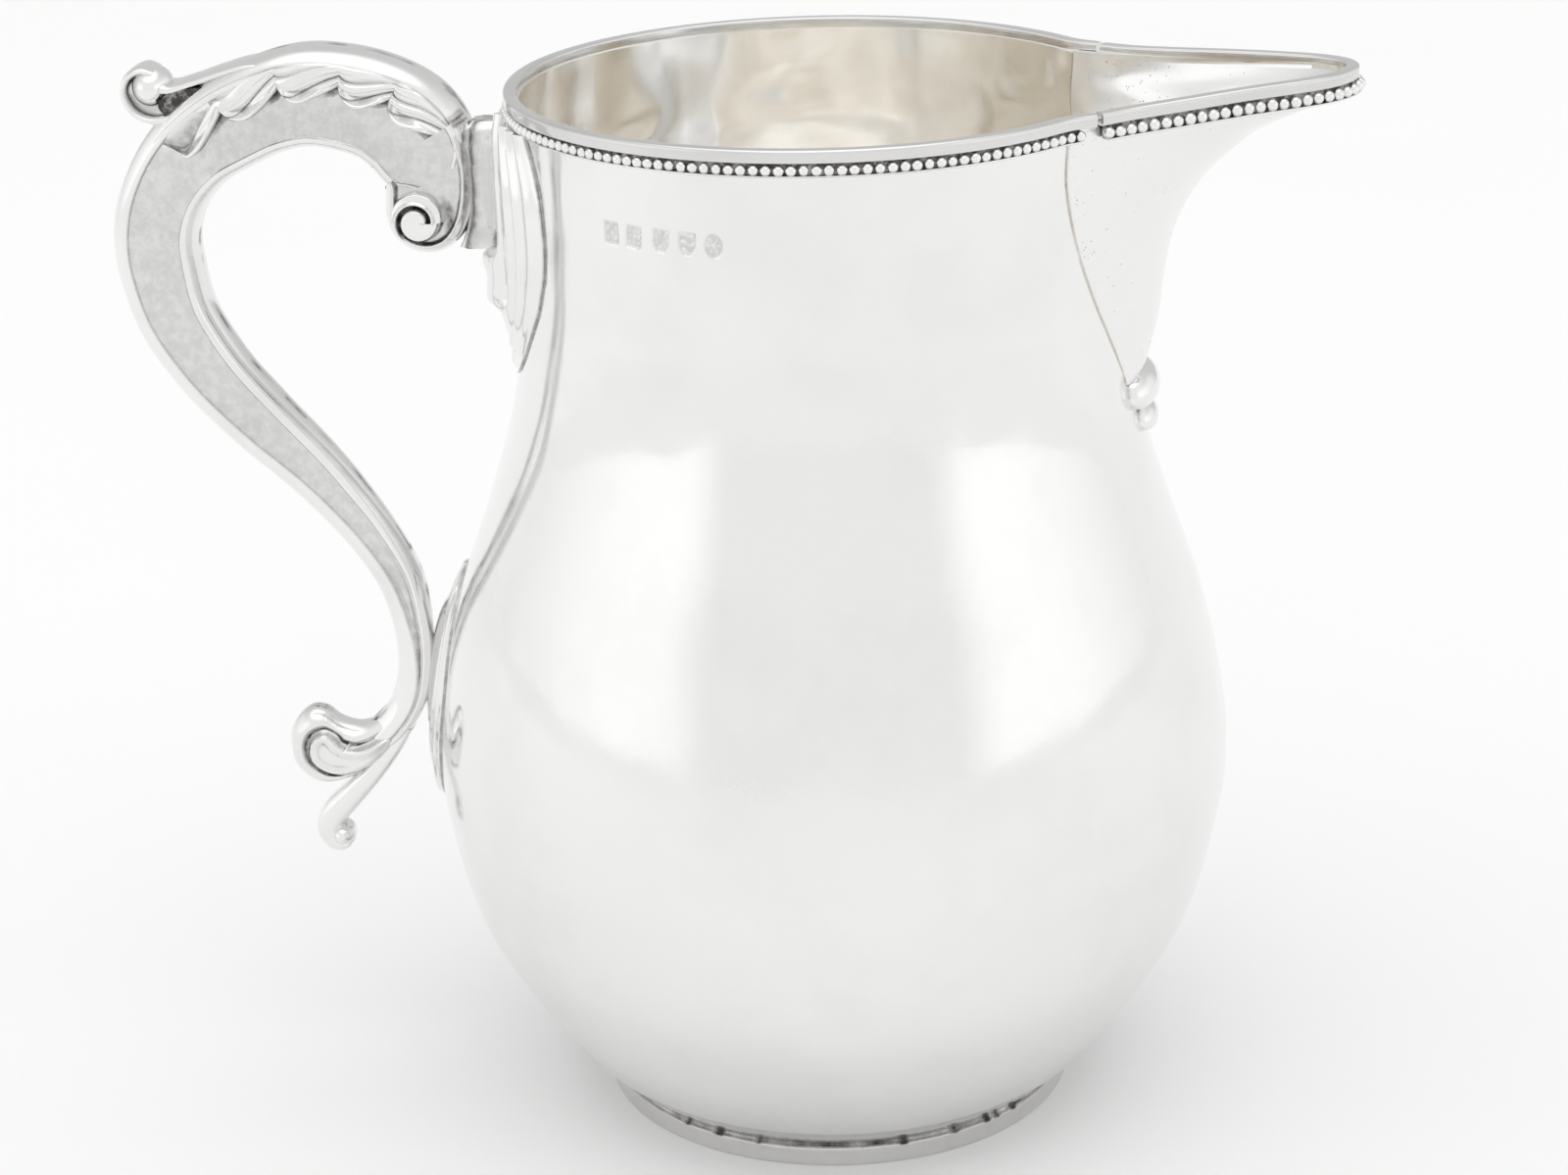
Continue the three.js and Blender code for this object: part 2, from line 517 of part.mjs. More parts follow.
const handle = new THREE.Group();
handle.name = 'handle';
const VOLUTE_HALF = 5.6 * HANDLE_STOUT;
const THUMB_HALF = 5 * HANDLE_STOUT;
handle.add(
  piece('upper_mount', plate(Math.PI, UPPER_MOUNT, 21, 0.16), 0.18),
  piece('upper_neck', neck(), 0.18),
  piece('volute', coin(atHead, [-70.4, 171.2], VOLUTE, VOLUTE_HALF), 0.16),
  piece('volute_pearl_left', volutePearl(1, VOLUTE_HALF), 0.16),
  piece('volute_pearl_right', volutePearl(-1, VOLUTE_HALF), 0.16),
  piece('stem_half_left', stemHalf(1), 0.15),
  piece('stem_half_right', stemHalf(-1), 0.15),
  piece('leaf_left', leaf(1), 0.22),
  piece('leaf_right', leaf(-1), 0.22),
  piece('thumb_scroll', coin(atThumb, [-121, 191.5], [
    [0.2, -6], [3, -3.4], [4.3, 0], [3.4, 2.6], [1.4, 4.1], [-1, 4.1], [-3.2, 2.8], [-4.2, 0.6], [-4, -1.6], [-2.6, -4.2],
  ], THUMB_HALF), 0.18),
  piece('terminal_scroll', scroll(atFoot, [
    [-87.6, 66.6, 4.8, 3.8], [-90.5, 64.9, 8.6, 4.2], [-93.8, 64.1, 11.2, 4.5], [-97.2, 64.2, 14.2, 4.6],
    [-100.4, 64.3, 12.8, 4.4], [-102.8, 64.2, 8.4, 3.2], [-103.9, 64.1, 2.4, 1],
  ], 13), 0.18),
  piece('tail_scroll', scroll(atFoot, [
    [-84.7, 63.8, 2, 3], [-86.4, 60.2, 2.8, 3.1], [-89.4, 56.9, 3.6, 3.2], [-93.2, 53.3, 4.6, 3.3], [-96.6, 49.8, 5.2, 3.4],
    [-97.2, 46.4, 4.8, 3.4], [-95.4, 44.3, 4.2, 3], [-93.8, 45, 3, 2.4], [-93.6, 46, 1, 1],
  ], 18), 0.18),
  piece('lower_mount', plate(Math.PI, LOWER_MOUNT, 15, 0.1), 0.18),
);

// The part's origin is on the table under the middle of the whole width, between spout tip and handle.
const onAxis = new THREE.Group();
onAxis.name = 'on_axis';
onAxis.position.x = ((REACH.handle - REACH.spout) / 2) * SX;
onAxis.add(vessel, spout, handle);

const pitcher = new THREE.Group();
pitcher.name = 'water_pitcher';
pitcher.add(onAxis);

export default pitcher;
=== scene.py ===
"""Looks of the silver water pitcher: fine meshes and polished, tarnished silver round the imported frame.

Shapes are worked out in millimetres about the body's own axis, and put into the frame in metres by
make(). Curves follow two sizes that the frame gives: the belly's radius and the rim's height.
"""
import math

import bmesh
import bpy
import numpy as np
from mathutils import Matrix, Vector

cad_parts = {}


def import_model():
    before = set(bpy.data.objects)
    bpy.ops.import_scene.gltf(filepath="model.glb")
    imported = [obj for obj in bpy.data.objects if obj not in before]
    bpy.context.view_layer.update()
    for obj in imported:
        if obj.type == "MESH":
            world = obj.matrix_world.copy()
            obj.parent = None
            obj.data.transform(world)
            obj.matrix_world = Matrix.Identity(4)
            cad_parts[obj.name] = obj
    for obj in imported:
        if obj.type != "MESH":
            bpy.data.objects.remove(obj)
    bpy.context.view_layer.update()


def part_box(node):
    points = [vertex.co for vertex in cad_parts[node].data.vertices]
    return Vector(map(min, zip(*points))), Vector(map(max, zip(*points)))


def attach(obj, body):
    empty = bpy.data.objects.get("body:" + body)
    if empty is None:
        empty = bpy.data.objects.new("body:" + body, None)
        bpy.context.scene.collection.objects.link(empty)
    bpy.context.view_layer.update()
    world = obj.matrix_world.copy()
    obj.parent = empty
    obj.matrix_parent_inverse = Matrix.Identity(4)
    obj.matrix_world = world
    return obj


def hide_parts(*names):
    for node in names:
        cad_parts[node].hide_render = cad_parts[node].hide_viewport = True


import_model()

# ---- sizes from the frame, in millimetres -------------------------------------------------------
MM = 0.001
foot_low, foot_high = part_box("foot_band")
AXIS_X = (foot_low.x + foot_high.x) / 2 / MM
BELLY_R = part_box("body_shell")[1].y / MM
RIM_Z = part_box("rim_band")[1].z / MM
SX = BELLY_R / 73.6  # the curves below are drawn for this belly radius
SZ = RIM_Z / 193  # and for this height of the rim

WALL = 1.0  # thickness of the body's sheet and of the spout's
FOOT_H = foot_high.z / MM
RIM_H, RIM_W = 2.2, 2.4
RIM_BEAD = {"pitch": 2.1, "r": 0.96}
SPOUT_BEAD = {"pitch": 2.25, "r": 1.05}
MIRROR = np.array([1, -1, 1])  # swaps the near and the far side of the handle's plane
RIPPLE_WAVES = 14
CREASE_PASSES = 2  # how often the curvature is averaged with its neighbours before it turns to tarnish
SHARP_ANGLE = 38  # degrees between faces above which an edge stays sharp


# ---- curves -------------------------------------------------------------------------------------
def smooth(pairs):
    """A cubic y(x) through every [x, y] pair, flat beyond the ends."""
    xs, ys = np.array(pairs, float).T
    last = len(xs) - 1
    before = np.maximum(np.arange(last + 1) - 1, 0)
    after = np.minimum(np.arange(last + 1) + 1, last)
    slope = (ys[after] - ys[before]) / (xs[after] - xs[before])

    def at(x):
        i = np.clip(np.searchsorted(xs, x, side="right") - 1, 0, last - 1)
        h = xs[i + 1] - xs[i]
        t = np.clip((x - xs[i]) / h, 0, 1)
        rise = ys[i] * (1 + 2 * t) * (1 - t) ** 2 + ys[i + 1] * (3 - 2 * t) * t**2
        return rise + h * t * (1 - t) * (slope[i] * (1 - t) - slope[i + 1] * t)

    return at


def table(rows):
    """Rows of numbers, read at any place from the first row (t = 0) to the last (t = 1)."""
    rows = np.array(rows, float)
    places = np.linspace(0, 1, len(rows))
    columns = [smooth(np.column_stack([places, column])) for column in rows.T]
    return lambda t: np.stack([column(t) for column in columns], -1)


def through(points, count, closed=False):
    """Evenly spaced points on a smooth curve through the given ones."""
    points = np.array(points, float)
    n = len(points)
    if closed:
        points = np.concatenate([points] * 3)
    chord = np.r_[0, np.cumsum(np.linalg.norm(np.diff(points, axis=0), axis=1))]
    start, end = (chord[n], chord[2 * n]) if closed else (0, chord[-1])
    places = np.linspace(start, end, 60 * n)
    fine = np.stack([smooth(np.column_stack([chord, c]))(places) for c in points.T], -1)
    along = np.r_[0, np.cumsum(np.linalg.norm(np.diff(fine, axis=0), axis=1))]
    wanted = np.linspace(0, along[-1], count, endpoint=not closed)
    return np.stack([np.interp(wanted, along, c) for c in fine.T], -1)


def lerp(a, b, t):
    return a + (b - a) * t


def ease(a, b, x):
    """0 below a, 1 above b, smooth between."""
    t = np.clip((x - a) / (b - a), 0, 1)
    return t * t * (3 - 2 * t)


def bump(x, middle, width):
    return np.exp(-(((x - middle) / width) ** 2))


def polar(r, angle, z):
    r, angle, z = np.broadcast_arrays(r, angle, z)
    return np.stack([r * np.cos(angle), r * np.sin(angle), z], -1)


def turns(count):
    """Evenly spaced angles all the way round."""
    return np.linspace(0, 2 * np.pi, count, endpoint=False)


def ripple(points, wavelength, seed):
    """A smooth random field of about +-1 over points, as a sum of plane waves."""
    random = np.random.default_rng(seed)
    total = 0
    for _ in range(RIPPLE_WAVES):
        k = random.normal(size=3)
        k *= 2 * np.pi / wavelength / np.linalg.norm(k) * random.uniform(0.7, 1.4)
        total = total + np.sin(points @ k + random.uniform(0, 2 * np.pi))
    return total / math.sqrt(RIPPLE_WAVES)


def distance(points, line):
    """Distance of 2-D points from a line of 2-D points."""
    a, b = line[:-1], line[1:]
    ab = b - a
    best = np.full(points.shape[:-1], np.inf)
    for start, step in zip(a, ab):
        t = np.clip(((points - start) @ step) / (step @ step), 0, 1)
        best = np.minimum(best, np.linalg.norm(points - start - t[..., None] * step, axis=-1))
    return best


def encloses(points, outline):
    """True where 2-D points lie inside a closed outline."""
    odd = np.zeros(points.shape[:-1], bool)
    x, z = points[..., 0], points[..., 1]
    for (xa, za), (xb, zb) in zip(outline, np.roll(outline, -1, axis=0)):
        crosses = (za > z) != (zb > z)
        with np.errstate(divide="ignore", invalid="ignore"):
            odd ^= crosses & (x < (xb - xa) * (z - za) / (zb - za) + xa)
    return odd


# ---- meshes -------------------------------------------------------------------------------------
def ring_faces(rows, columns, wrap_rows=False):
    """The four-sided faces between neighbouring rings, as vertex numbers."""
    i = np.arange(rows if wrap_rows else rows - 1)[:, None]
    j = np.arange(columns)[None, :]
    next_i, next_j = (i + 1) % rows, (j + 1) % columns
    corners = [i * columns + j, i * columns + next_j, next_i * columns + next_j, next_i * columns + j]
    return np.stack(np.broadcast_arrays(*corners), -1).reshape(-1, 4).tolist()


def loft(rings, dark=None, wrap=False, sheet=False):
    """Joins rings (rows x points x 3) into one closed shell: wrapped round, or capped at both ends.

    The rings of a sheet run over its front and come back behind it, so its caps are strips, not fans.
    The shell is its points, its faces and the tarnish and painted shade at each point, from 0 to 1.
    """
    rings = np.asarray(rings, float)
    rows, n = rings.shape[:2]
    points = rings.reshape(-1, 3)
    shade = np.zeros(rows * n) if dark is None else np.broadcast_to(dark, (rows, n)).reshape(-1)
    faces = ring_faces(rows, n, wrap_rows=wrap)
    if sheet:
        for first, turn in ((0, 1), (rows * n - n, -1)):
            for k in range(n // 2 - 1):
                corners = [first + k + 1, first + k, first + n - 1 - k, first + n - 2 - k]
                faces.append(corners[::turn])
    elif not wrap:
        for row, turn in ((0, 1), (rows - 1, -1)):
            middle = len(points)
            points = np.vstack([points, rings[row].mean(0)])
            shade = np.append(shade, shade[row * n : row * n + n].mean())
            ring = np.arange(n) + row * n
            faces += [[middle, a, b][::turn] for a, b in zip(np.roll(ring, -1).tolist(), ring.tolist())]
    return points, faces, shade


def merged(shells):
    """Several shells as one, each still closed on its own."""
    points, faces, shades, first = [], [], [], 0
    for shell_points, shell_faces, shade in shells:
        points.append(shell_points)
        shades.append(shade)
        faces += [[first + k for k in face] for face in shell_faces]
        first += len(shell_points)
    return np.vstack(points), faces, np.concatenate(shades)


def hollows(mesh, low, high):
    """How deep each vertex lies in a crease: 0 to 1 as its curvature goes from low to high, per mm."""
    n = len(mesh.vertices)
    co = np.empty(n * 3)
    normal = np.empty(n * 3)
    edge = np.empty(len(mesh.edges) * 2, int)
    mesh.vertices.foreach_get("co", co)
    mesh.vertices.foreach_get("normal", normal)
    mesh.edges.foreach_get("vertices", edge)
    co, normal = co.reshape(-1, 3) / MM, normal.reshape(-1, 3)
    a, b = edge[0::2], edge[1::2]
    count = np.bincount(a, minlength=n) + np.bincount(b, minlength=n) + 1e-9
    step = co[b] - co[a]
    square = (step**2).sum(1) + 1e-6
    rise_a = (step * normal[a]).sum(1) / square
    rise_b = -(step * normal[b]).sum(1) / square
    curve = 2 * (np.bincount(a, rise_a, n) + np.bincount(b, rise_b, n)) / count
    for _ in range(CREASE_PASSES):
        curve = (np.bincount(a, curve[b], n) + np.bincount(b, curve[a], n) + curve) / (count + 1)
    return ease(low, high, curve)


def turn_faces_out(mesh):
    work = bmesh.new()
    work.from_mesh(mesh)
    bmesh.ops.recalc_face_normals(work, faces=work.faces)
    work.to_mesh(mesh)
    work.free()
    mesh.update()


def make(name, shells, material, nodes, creases=(0.25, 1.4), gain=1.0, inside=None):
    """One visible piece, from one shell or several in millimetres about the body's own axis.

    Creases are the curvatures, per mm, at which tarnish starts and is full, times the gain. Inside is
    1 at the points of the jug's inner wall.
    """
    points, faces, shade = merged(shells if isinstance(shells, list) else [shells])
    mesh = bpy.data.meshes.new(name)
    mesh.from_pydata(((points + [AXIS_X, 0, 0]) * MM).tolist(), [], faces)
    obj = bpy.data.objects.new(name, mesh)
    bpy.context.scene.collection.objects.link(obj)
    turn_faces_out(mesh)
    if creases:
        shade = np.maximum(shade, gain * hollows(mesh, *creases))
    # The tone holds the tarnish in creases and the painted shade given to each piece.
    mesh.attributes.new("tarnish_and_shade", "FLOAT", "POINT").data.foreach_set("value", shade.astype(np.float32))
    if inside is not None:
        mesh.attributes.new("inside", "FLOAT", "POINT").data.foreach_set("value", inside.astype(np.float32))
    mesh.shade_smooth()
    mesh.set_sharp_from_angle(angle=math.radians(SHARP_ANGLE))
    mesh.materials.append(material)
    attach(obj, "root")
    if nodes:
        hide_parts(*nodes)
    return obj


# ---- materials ----------------------------------------------------------------------------------
CLEAN = (0.855, 0.853, 0.847, 1)
SOFT = (0.825, 0.823, 0.817, 1)  # where the polish is worn
RIM_CLEAN, RIM_SOFT = (0.72, 0.716, 0.708, 1), (0.67, 0.666, 0.658, 1)
FOOT_CLEAN, FOOT_SOFT = (0.80, 0.795, 0.785, 1), (0.74, 0.735, 0.725, 1)
CAST_SOFT = (0.86, 0.858, 0.85, 1)
HANDLE_SOFT = (0.80, 0.798, 0.791, 1)
# This dark colour serves both the tarnish and the painted shade.
TARNISH_AND_SHADE = (0.07, 0.065, 0.06, 1)
# The inner wall gets a brighter, warmer copy of the silver: painted light for the inside of the jug.
INNER_WALL_LIT = (0.985, 0.976, 0.958, 1)  # the inner wall


class Nodes:
    """Short names for adding shader nodes to a material or to the world."""

    def __init__(self, owner):
        self.tree = owner.node_tree
        self.position = self.add("ShaderNodeTexCoord").outputs["Object"]

    def add(self, kind, inputs=(), **settings):
        node = self.tree.nodes.new(kind)
        for key, value in settings.items():
            setattr(node, key, value)
        for key, value in dict(inputs).items():
            if isinstance(value, bpy.types.NodeSocket):
                self.tree.links.new(value, node.inputs[key])
            else:
                node.inputs[key].default_value = value
        return node

    def noise(self, scale, detail=4, roughness=0.55, stretch=None, turn=(0, 0, 0)):
        place = self.position
        if stretch:
            values = {"Vector": place, "Rotation": turn, "Scale": stretch}
            place = self.add("ShaderNodeMapping", values).outputs[0]
        values = {"Vector": place, "Scale": scale, "Detail": detail, "Roughness": roughness}
        return self.add("ShaderNodeTexNoise", values).outputs["Fac"]

    def fit(self, value, low, high, to_low=0.0, to_high=1.0):
        values = {0: value, 1: low, 2: high, 3: to_low, 4: to_high}
        return self.add("ShaderNodeMapRange", values, interpolation_type="SMOOTHSTEP").outputs[0]

    def math(self, operation, a, b=0.0):
        return self.add("ShaderNodeMath", {0: a, 1: b}, operation=operation).outputs[0]

    def mix(self, factor, a, b):
        """A mix of two colours, whose sockets come after those for numbers and vectors."""
        return self.add("ShaderNodeMix", {0: factor, 6: a, 7: b}, data_type="RGBA").outputs[2]


def silver(name, rough, base=CLEAN, soft=SOFT, pits=0.0, inside=False):
    """Polished silver: dark tarnish in the creases and painted shade where the mesh's tone asks for it, faint
    scratches, soft wear, optional casting pits.
    """
    material = bpy.data.materials.new(name)
    material.use_nodes = True
    nodes = Nodes(material)
    shader = material.node_tree.nodes["Principled BSDF"]
    shader.inputs["Metallic"].default_value = 1.0
    # The mesh's tone is tarnish and painted shade; both turn the colour towards the dark colour.
    attribute = nodes.add("ShaderNodeAttribute", attribute_name="tarnish_and_shade").outputs["Fac"]
    patchy = nodes.fit(nodes.noise(520, 6, 0.7), 0.36, 0.62, 0.72, 1.25)
    dark = nodes.math("MINIMUM", nodes.math("MULTIPLY", attribute, patchy), 1.0)

    # Fine straight scratches in three directions, each a stretched noise cut to thin lines.
    lines = 0.0
    for turn in ((0.3, 0.2, 0.9), (1.1, 0.5, -0.4), (-0.6, 1.2, 0.2)):
        line = nodes.fit(nodes.noise(2600, 2, 0.5, (1, 1, 0.025), turn), 0.66, 0.74)
        lines = nodes.math("MAXIMUM", lines, line)
    worn = nodes.fit(nodes.noise(38, 5, 0.6), 0.42, 0.68)
    lines = nodes.math("MULTIPLY", lines, nodes.fit(worn, 0.1, 1, 0.15, 1.0))

    if pits:
        cell = nodes.add("ShaderNodeTexVoronoi", {"Vector": nodes.position, "Scale": 1500.0})
        dots = nodes.fit(cell.outputs["Distance"], 0.10, 0.26, 1.0, 0.0)
        where = nodes.fit(nodes.noise(70, 4, 0.7), 0.47, 0.66)
        chosen = nodes.fit(nodes.noise(900, 2, 0.5), 0.5, 0.56)
        chosen = nodes.math("MULTIPLY", chosen, pits)
        pitted = nodes.math("MULTIPLY", nodes.math("MULTIPLY", dots, where), chosen)
        dark = nodes.math("MAXIMUM", dark, pitted)
        lines = nodes.math("MAXIMUM", lines, pitted)

    colour = nodes.mix(worn, base, soft)
    # Inside the jug the colour turns to the brighter inner copy, painted light.
    if inside:
        within = nodes.add("ShaderNodeAttribute", attribute_name="inside").outputs["Fac"]
        colour = nodes.mix(within, colour, INNER_WALL_LIT)
    colour = nodes.mix(dark, colour, TARNISH_AND_SHADE)
    material.node_tree.links.new(colour, shader.inputs["Base Color"])
    gloss = nodes.fit(nodes.noise(90, 7, 0.65), 0.3, 0.72, rough * 0.75, rough * 1.3)
    gloss = nodes.math("ADD", gloss, nodes.math("MULTIPLY", dark, 0.3))
    gloss = nodes.math("ADD", gloss, nodes.math("MULTIPLY", lines, 0.05))
    material.node_tree.links.new(gloss, shader.inputs["Roughness"])

    # Three layers of relief: planishing, a fine grain, and the scratches cut into both.
    grain = nodes.noise(1400, 4, 0.6)
    layers = ((nodes.noise(110, 2), 0.00003, 0.6), (grain, 0.000012, 0.25), (lines, -0.00002, 0.35))
    below = {}
    for height, deep, strength in layers:
        values = {"Height": height, "Distance": deep, "Strength": strength, **below}
        below = {"Normal": nodes.add("ShaderNodeBump", values).outputs[0]}
    material.node_tree.links.new(below["Normal"], shader.inputs["Normal"])
    return material


# ---- body ---------------------------------------------------------------------------------------
BODY_FLOOR_Z = FOOT_H + 0.3
BOTTOM = 1.2  # thickness of the body's bottom
MAKE_WAY = 110  # degrees to each side of the spout over which the wall's points move aside for it
WALL_TOP = RIM_Z - RIM_H + 0.25
BODY_OUTLINE = [  # height, radius
    [4.2, 43.4], [6, 45.6], [11.6, 51.3], [23.2, 59.8], [38.6, 68.1], [57.9, 72.8], [67, 73.6], [77.2, 73],
    [96.5, 69], [115.8, 62.35], [135.1, 56.6], [154.4, 53.9], [165, 53.6], [176, 53.8], [190.5, 53.9],
]
body_r = smooth([[lerp(BODY_FLOOR_Z, RIM_Z, (z - 4.2) / 188.8), r * SX] for z, r in BODY_OUTLINE])

# The spout from its foot to its lip: height and angle of its edge on the body, then how far out and
# how high the middle of the spout lies there.
SPOUT_ROWS = [
    [139.5, 10.3, 58.2, 142.6], [143.1, 12.2, 59, 145.6], [149.9, 17.2, 60.3, 151.2],
    [156.7, 22.3, 60.9, 157.2], [166.6, 28.9, 62.8, 166.6], [174.6, 32.5, 67, 174.8],
    [181, 34.2, 73.4, 181.3], [185, 34.2, 79, 185.2], [188, 33.8, 87, 188.6], [190.5, 33.6, 92.7, 192.3],
]
spout_station = table([[z * SZ, angle, reach * SX, keel * SZ] for z, angle, reach, keel in SPOUT_ROWS])
opening = smooth([[135.5 * SZ, 0], [137.5 * SZ, 6]] + [[z * SZ, angle] for z, angle, _, _ in SPOUT_ROWS])

# The row of small punches on the neck: angle round the body, outline, and a plain pattern inside.
MARKS_Z = 176.2 * SZ
PUNCH_DEPTH = 0.24
MARKS = [(-125.8, "square", "dots"), (-120.5, "square", "lattice"), (-114.6, "shield", "rays"),
         (-109.3, "shield", "waves"), (-104.2, "oval", "petals")]


def punch(across, up, outline, pattern):
    """Depth of one punch in mm at a place across and up from its middle."""
    if outline == "oval":
        edge = 1 - np.hypot(across / 1.8, up / 2.25)
        edge = edge * 1.9
    else:
        narrow = 0 if outline == "square" else 0.9 * ease(0.2, 2.3, -up)
        edge = np.minimum(1.75 - narrow - abs(across), 2.1 - abs(up))
    around = np.arctan2(up, across)
    far = np.hypot(across, up)
    relief = {
        "dots": np.cos(3.6 * across) * np.cos(3.6 * up),
        "lattice": np.cos(3.3 * (across + up)) * np.cos(3.3 * (across - up)),
        "rays": np.cos(7 * around) * ease(0.2, 0.9, far),
        "waves": np.cos(4.2 * up + 1.2 * np.sin(2.6 * across)),
        "petals": np.cos(6 * around) * bump(far, 0.95, 0.6) + bump(far, 0, 0.3),
    }[pattern]
    return ease(0, 0.35, edge) * (PUNCH_DEPTH - 0.13 * ease(0.1, 0.8, relief) * ease(0.25, 0.6, edge))


def body():
    """The body's sheet, open behind the spout and punched on the neck, and which points are inside."""
    dense = np.arange(MARKS_Z - 3.2, MARKS_Z + 3.2, 0.27)
    levels = np.unique(np.r_[np.linspace(BODY_FLOOR_Z, WALL_TOP, 128), dense])
    across = np.unique(np.r_[np.linspace(0, 360, 241)[:-1], np.arange(360 - 129, 360 - 101.4, 0.31)])
    signed = np.where(across > 180, across - 360, across)
    half = np.maximum(opening(levels), 0)[:, None]
    spread = np.clip(1 - abs(signed) / MAKE_WAY, 0, 1) ** 1.5
    side = np.where(across > 180, -1, 1)

    def wall(z, gap, r):
        """Rings whose points part by the gap, in degrees, on both sides of the spout."""
        return polar(r, np.radians(side * (abs(signed) + gap * spread)), z)

    z = levels[:, None]
    outer = wall(z, half, body_r(levels)[:, None])
    push = 0.013 * ripple(outer, 12, 1) + 0.045 * ripple(outer, 34, 2)
    depth = np.zeros(outer.shape[:2])
    angle = np.degrees(np.arctan2(outer[..., 1], outer[..., 0]))
    for mark_angle, outline, pattern in MARKS:
        lean = 0.05 * math.sin(mark_angle)  # each punch stands a little askew in its own way
        u = np.radians(angle - mark_angle) * body_r(MARKS_Z)
        near = abs(u) < 3
        v = np.broadcast_to(z - MARKS_Z, u.shape)
        depth += np.where(near, punch(u + lean * v, v - lean * u, outline, pattern), 0)
    radius = np.hypot(outer[..., 0], outer[..., 1])[..., None]
    outer[..., :2] *= 1 + (push - depth)[..., None] / radius

    down = levels[::-1][::2]
    down = down[down > BODY_FLOOR_Z + 2.4]
    inner = wall(down[:, None], np.maximum(opening(down), 0)[:, None], body_r(down)[:, None] - WALL)
    push = 0.11 * ripple(inner * [0.3, 0.3, 1], 11, 3) + 0.06 * ripple(inner, 17, 4)
    inner[..., :2] *= 1 + push[..., None] / np.hypot(inner[..., 0], inner[..., 1])[..., None]

    zero = np.zeros((1, 1))
    under = [wall(zero + BODY_FLOOR_Z, zero, r) for r in (0.4, 15, 30, 42.2 * SX)]
    floor_z = BODY_FLOOR_Z + BOTTOM
    low_r = body_r(BODY_FLOOR_Z + 2.4) - WALL
    floor = [wall(zero + floor_z + up, zero, r) for up, r in
             ((0.7, low_r - 0.9), (0.25, low_r - 2.6), (0.05, low_r - 5), (0, 30), (0, 15), (0, 0.4))]
    rings = np.concatenate([*under, outer, inner, *floor])
    dark = np.zeros(rings.shape[:2])
    first = len(under)
    dark[first : first + len(levels)] = 0.3 * np.clip(depth / 0.3, 0, 1)
    dark[first : first + 2] = 0.5
    points, faces, shade = loft(rings, dark)
    # Where the body is open behind the spout, the ring's closing faces give way to strips of wall.
    n = len(across)
    closed_low, closed_floor = np.zeros(first), np.zeros(len(floor))
    open_rows = np.r_[closed_low, opening(levels) > 0.01, opening(down) > 0.01, closed_floor] > 0
    kept = []
    for face in faces:
        rows = [k // n for k in face]
        columns = {k % n for k in face}
        spans = len(face) == 4 and columns == {0, n - 1}
        if not (spans and all(open_rows[row] for row in rows)):
            kept.append(face)
    outer_rows = [first + i for i in range(len(levels)) if open_rows[first + i]]
    inner_first = first + len(levels)
    z_of = {inner_first + i: down[i] for i in range(len(down))}
    for column in (0, n - 1):
        kept += strip(outer_rows, [r for r in z_of if open_rows[r]], levels, z_of, first, n, column)
    within = np.hypot(points[:, 0], points[:, 1]) < body_r(points[:, 2]) - 0.6 * WALL
    return (points, kept, shade), (within & (points[:, 2] > BODY_FLOOR_Z + 0.1)).astype(float)


def strip(outer_rows, inner_rows, levels, z_of, first, n, column):
    """Faces that close the wall's thickness along one edge of the opening."""
    inner_rows = sorted(inner_rows, key=lambda r: z_of[r])
    faces = []
    j = 0
    for a, b in zip(outer_rows, outer_rows[1:]):
        top = levels[b - first]
        while j + 1 < len(inner_rows) and z_of[inner_rows[j + 1]] <= top:
            faces.append([a * n + column, inner_rows[j + 1] * n + column, inner_rows[j] * n + column])
            j += 1
        faces.append([a * n + column, b * n + column, inner_rows[j] * n + column])
    while j + 1 < len(inner_rows):
        last = outer_rows[-1] * n + column
        faces.append([last, inner_rows[j + 1] * n + column, inner_rows[j] * n + column])
        j += 1
    return faces


def foot():
    """The foot ring, with a dark worn line and pits where it is soldered to the body."""
    ring = body_r(BODY_FLOOR_Z) + 0.7
    h = FOOT_H
    profile = [
        [ring - 1.8, 0.15], [ring - 1.65, 0], [ring - 0.45, 0], [ring - 0.12, 0.12], [ring, 0.4],
        [ring - 0.06, 0.9], [ring - 0.1, 1.8], [ring - 0.05, h - 1.1], [ring + 0.05, h - 0.6],
        [ring - 0.02, h - 0.32], [ring - 0.28, h - 0.16], [ring - 0.62, h - 0.1],
        [ring - 0.75, h + 0.05], [ring - 0.65, h + 0.5], [ring - 1.3, h + 0.45], [ring - 1.8, h],
    ]
    around = turns(360)
    rings = np.stack([polar(r, around, z) for r, z in profile])
    random = np.random.default_rng(5)
    dark = np.zeros(rings.shape[:2])
    dark[3:10] = 0.06
    dark[11:13] = np.clip(0.45 + 0.4 * ripple(rings[11], 9, 6), 0.15, 1)
    for spot in random.uniform(0, 2 * np.pi, 34):
        apart = (around - spot + np.pi) % (2 * np.pi) - np.pi
        dot = bump(apart * 44, 0, random.uniform(0.4, 0.9))
        dark[9:14] = np.maximum(dark[9:14], dot)
        rings[8:11, :, 2] -= 0.12 * dot
    return loft(rings, dark, wrap=True)


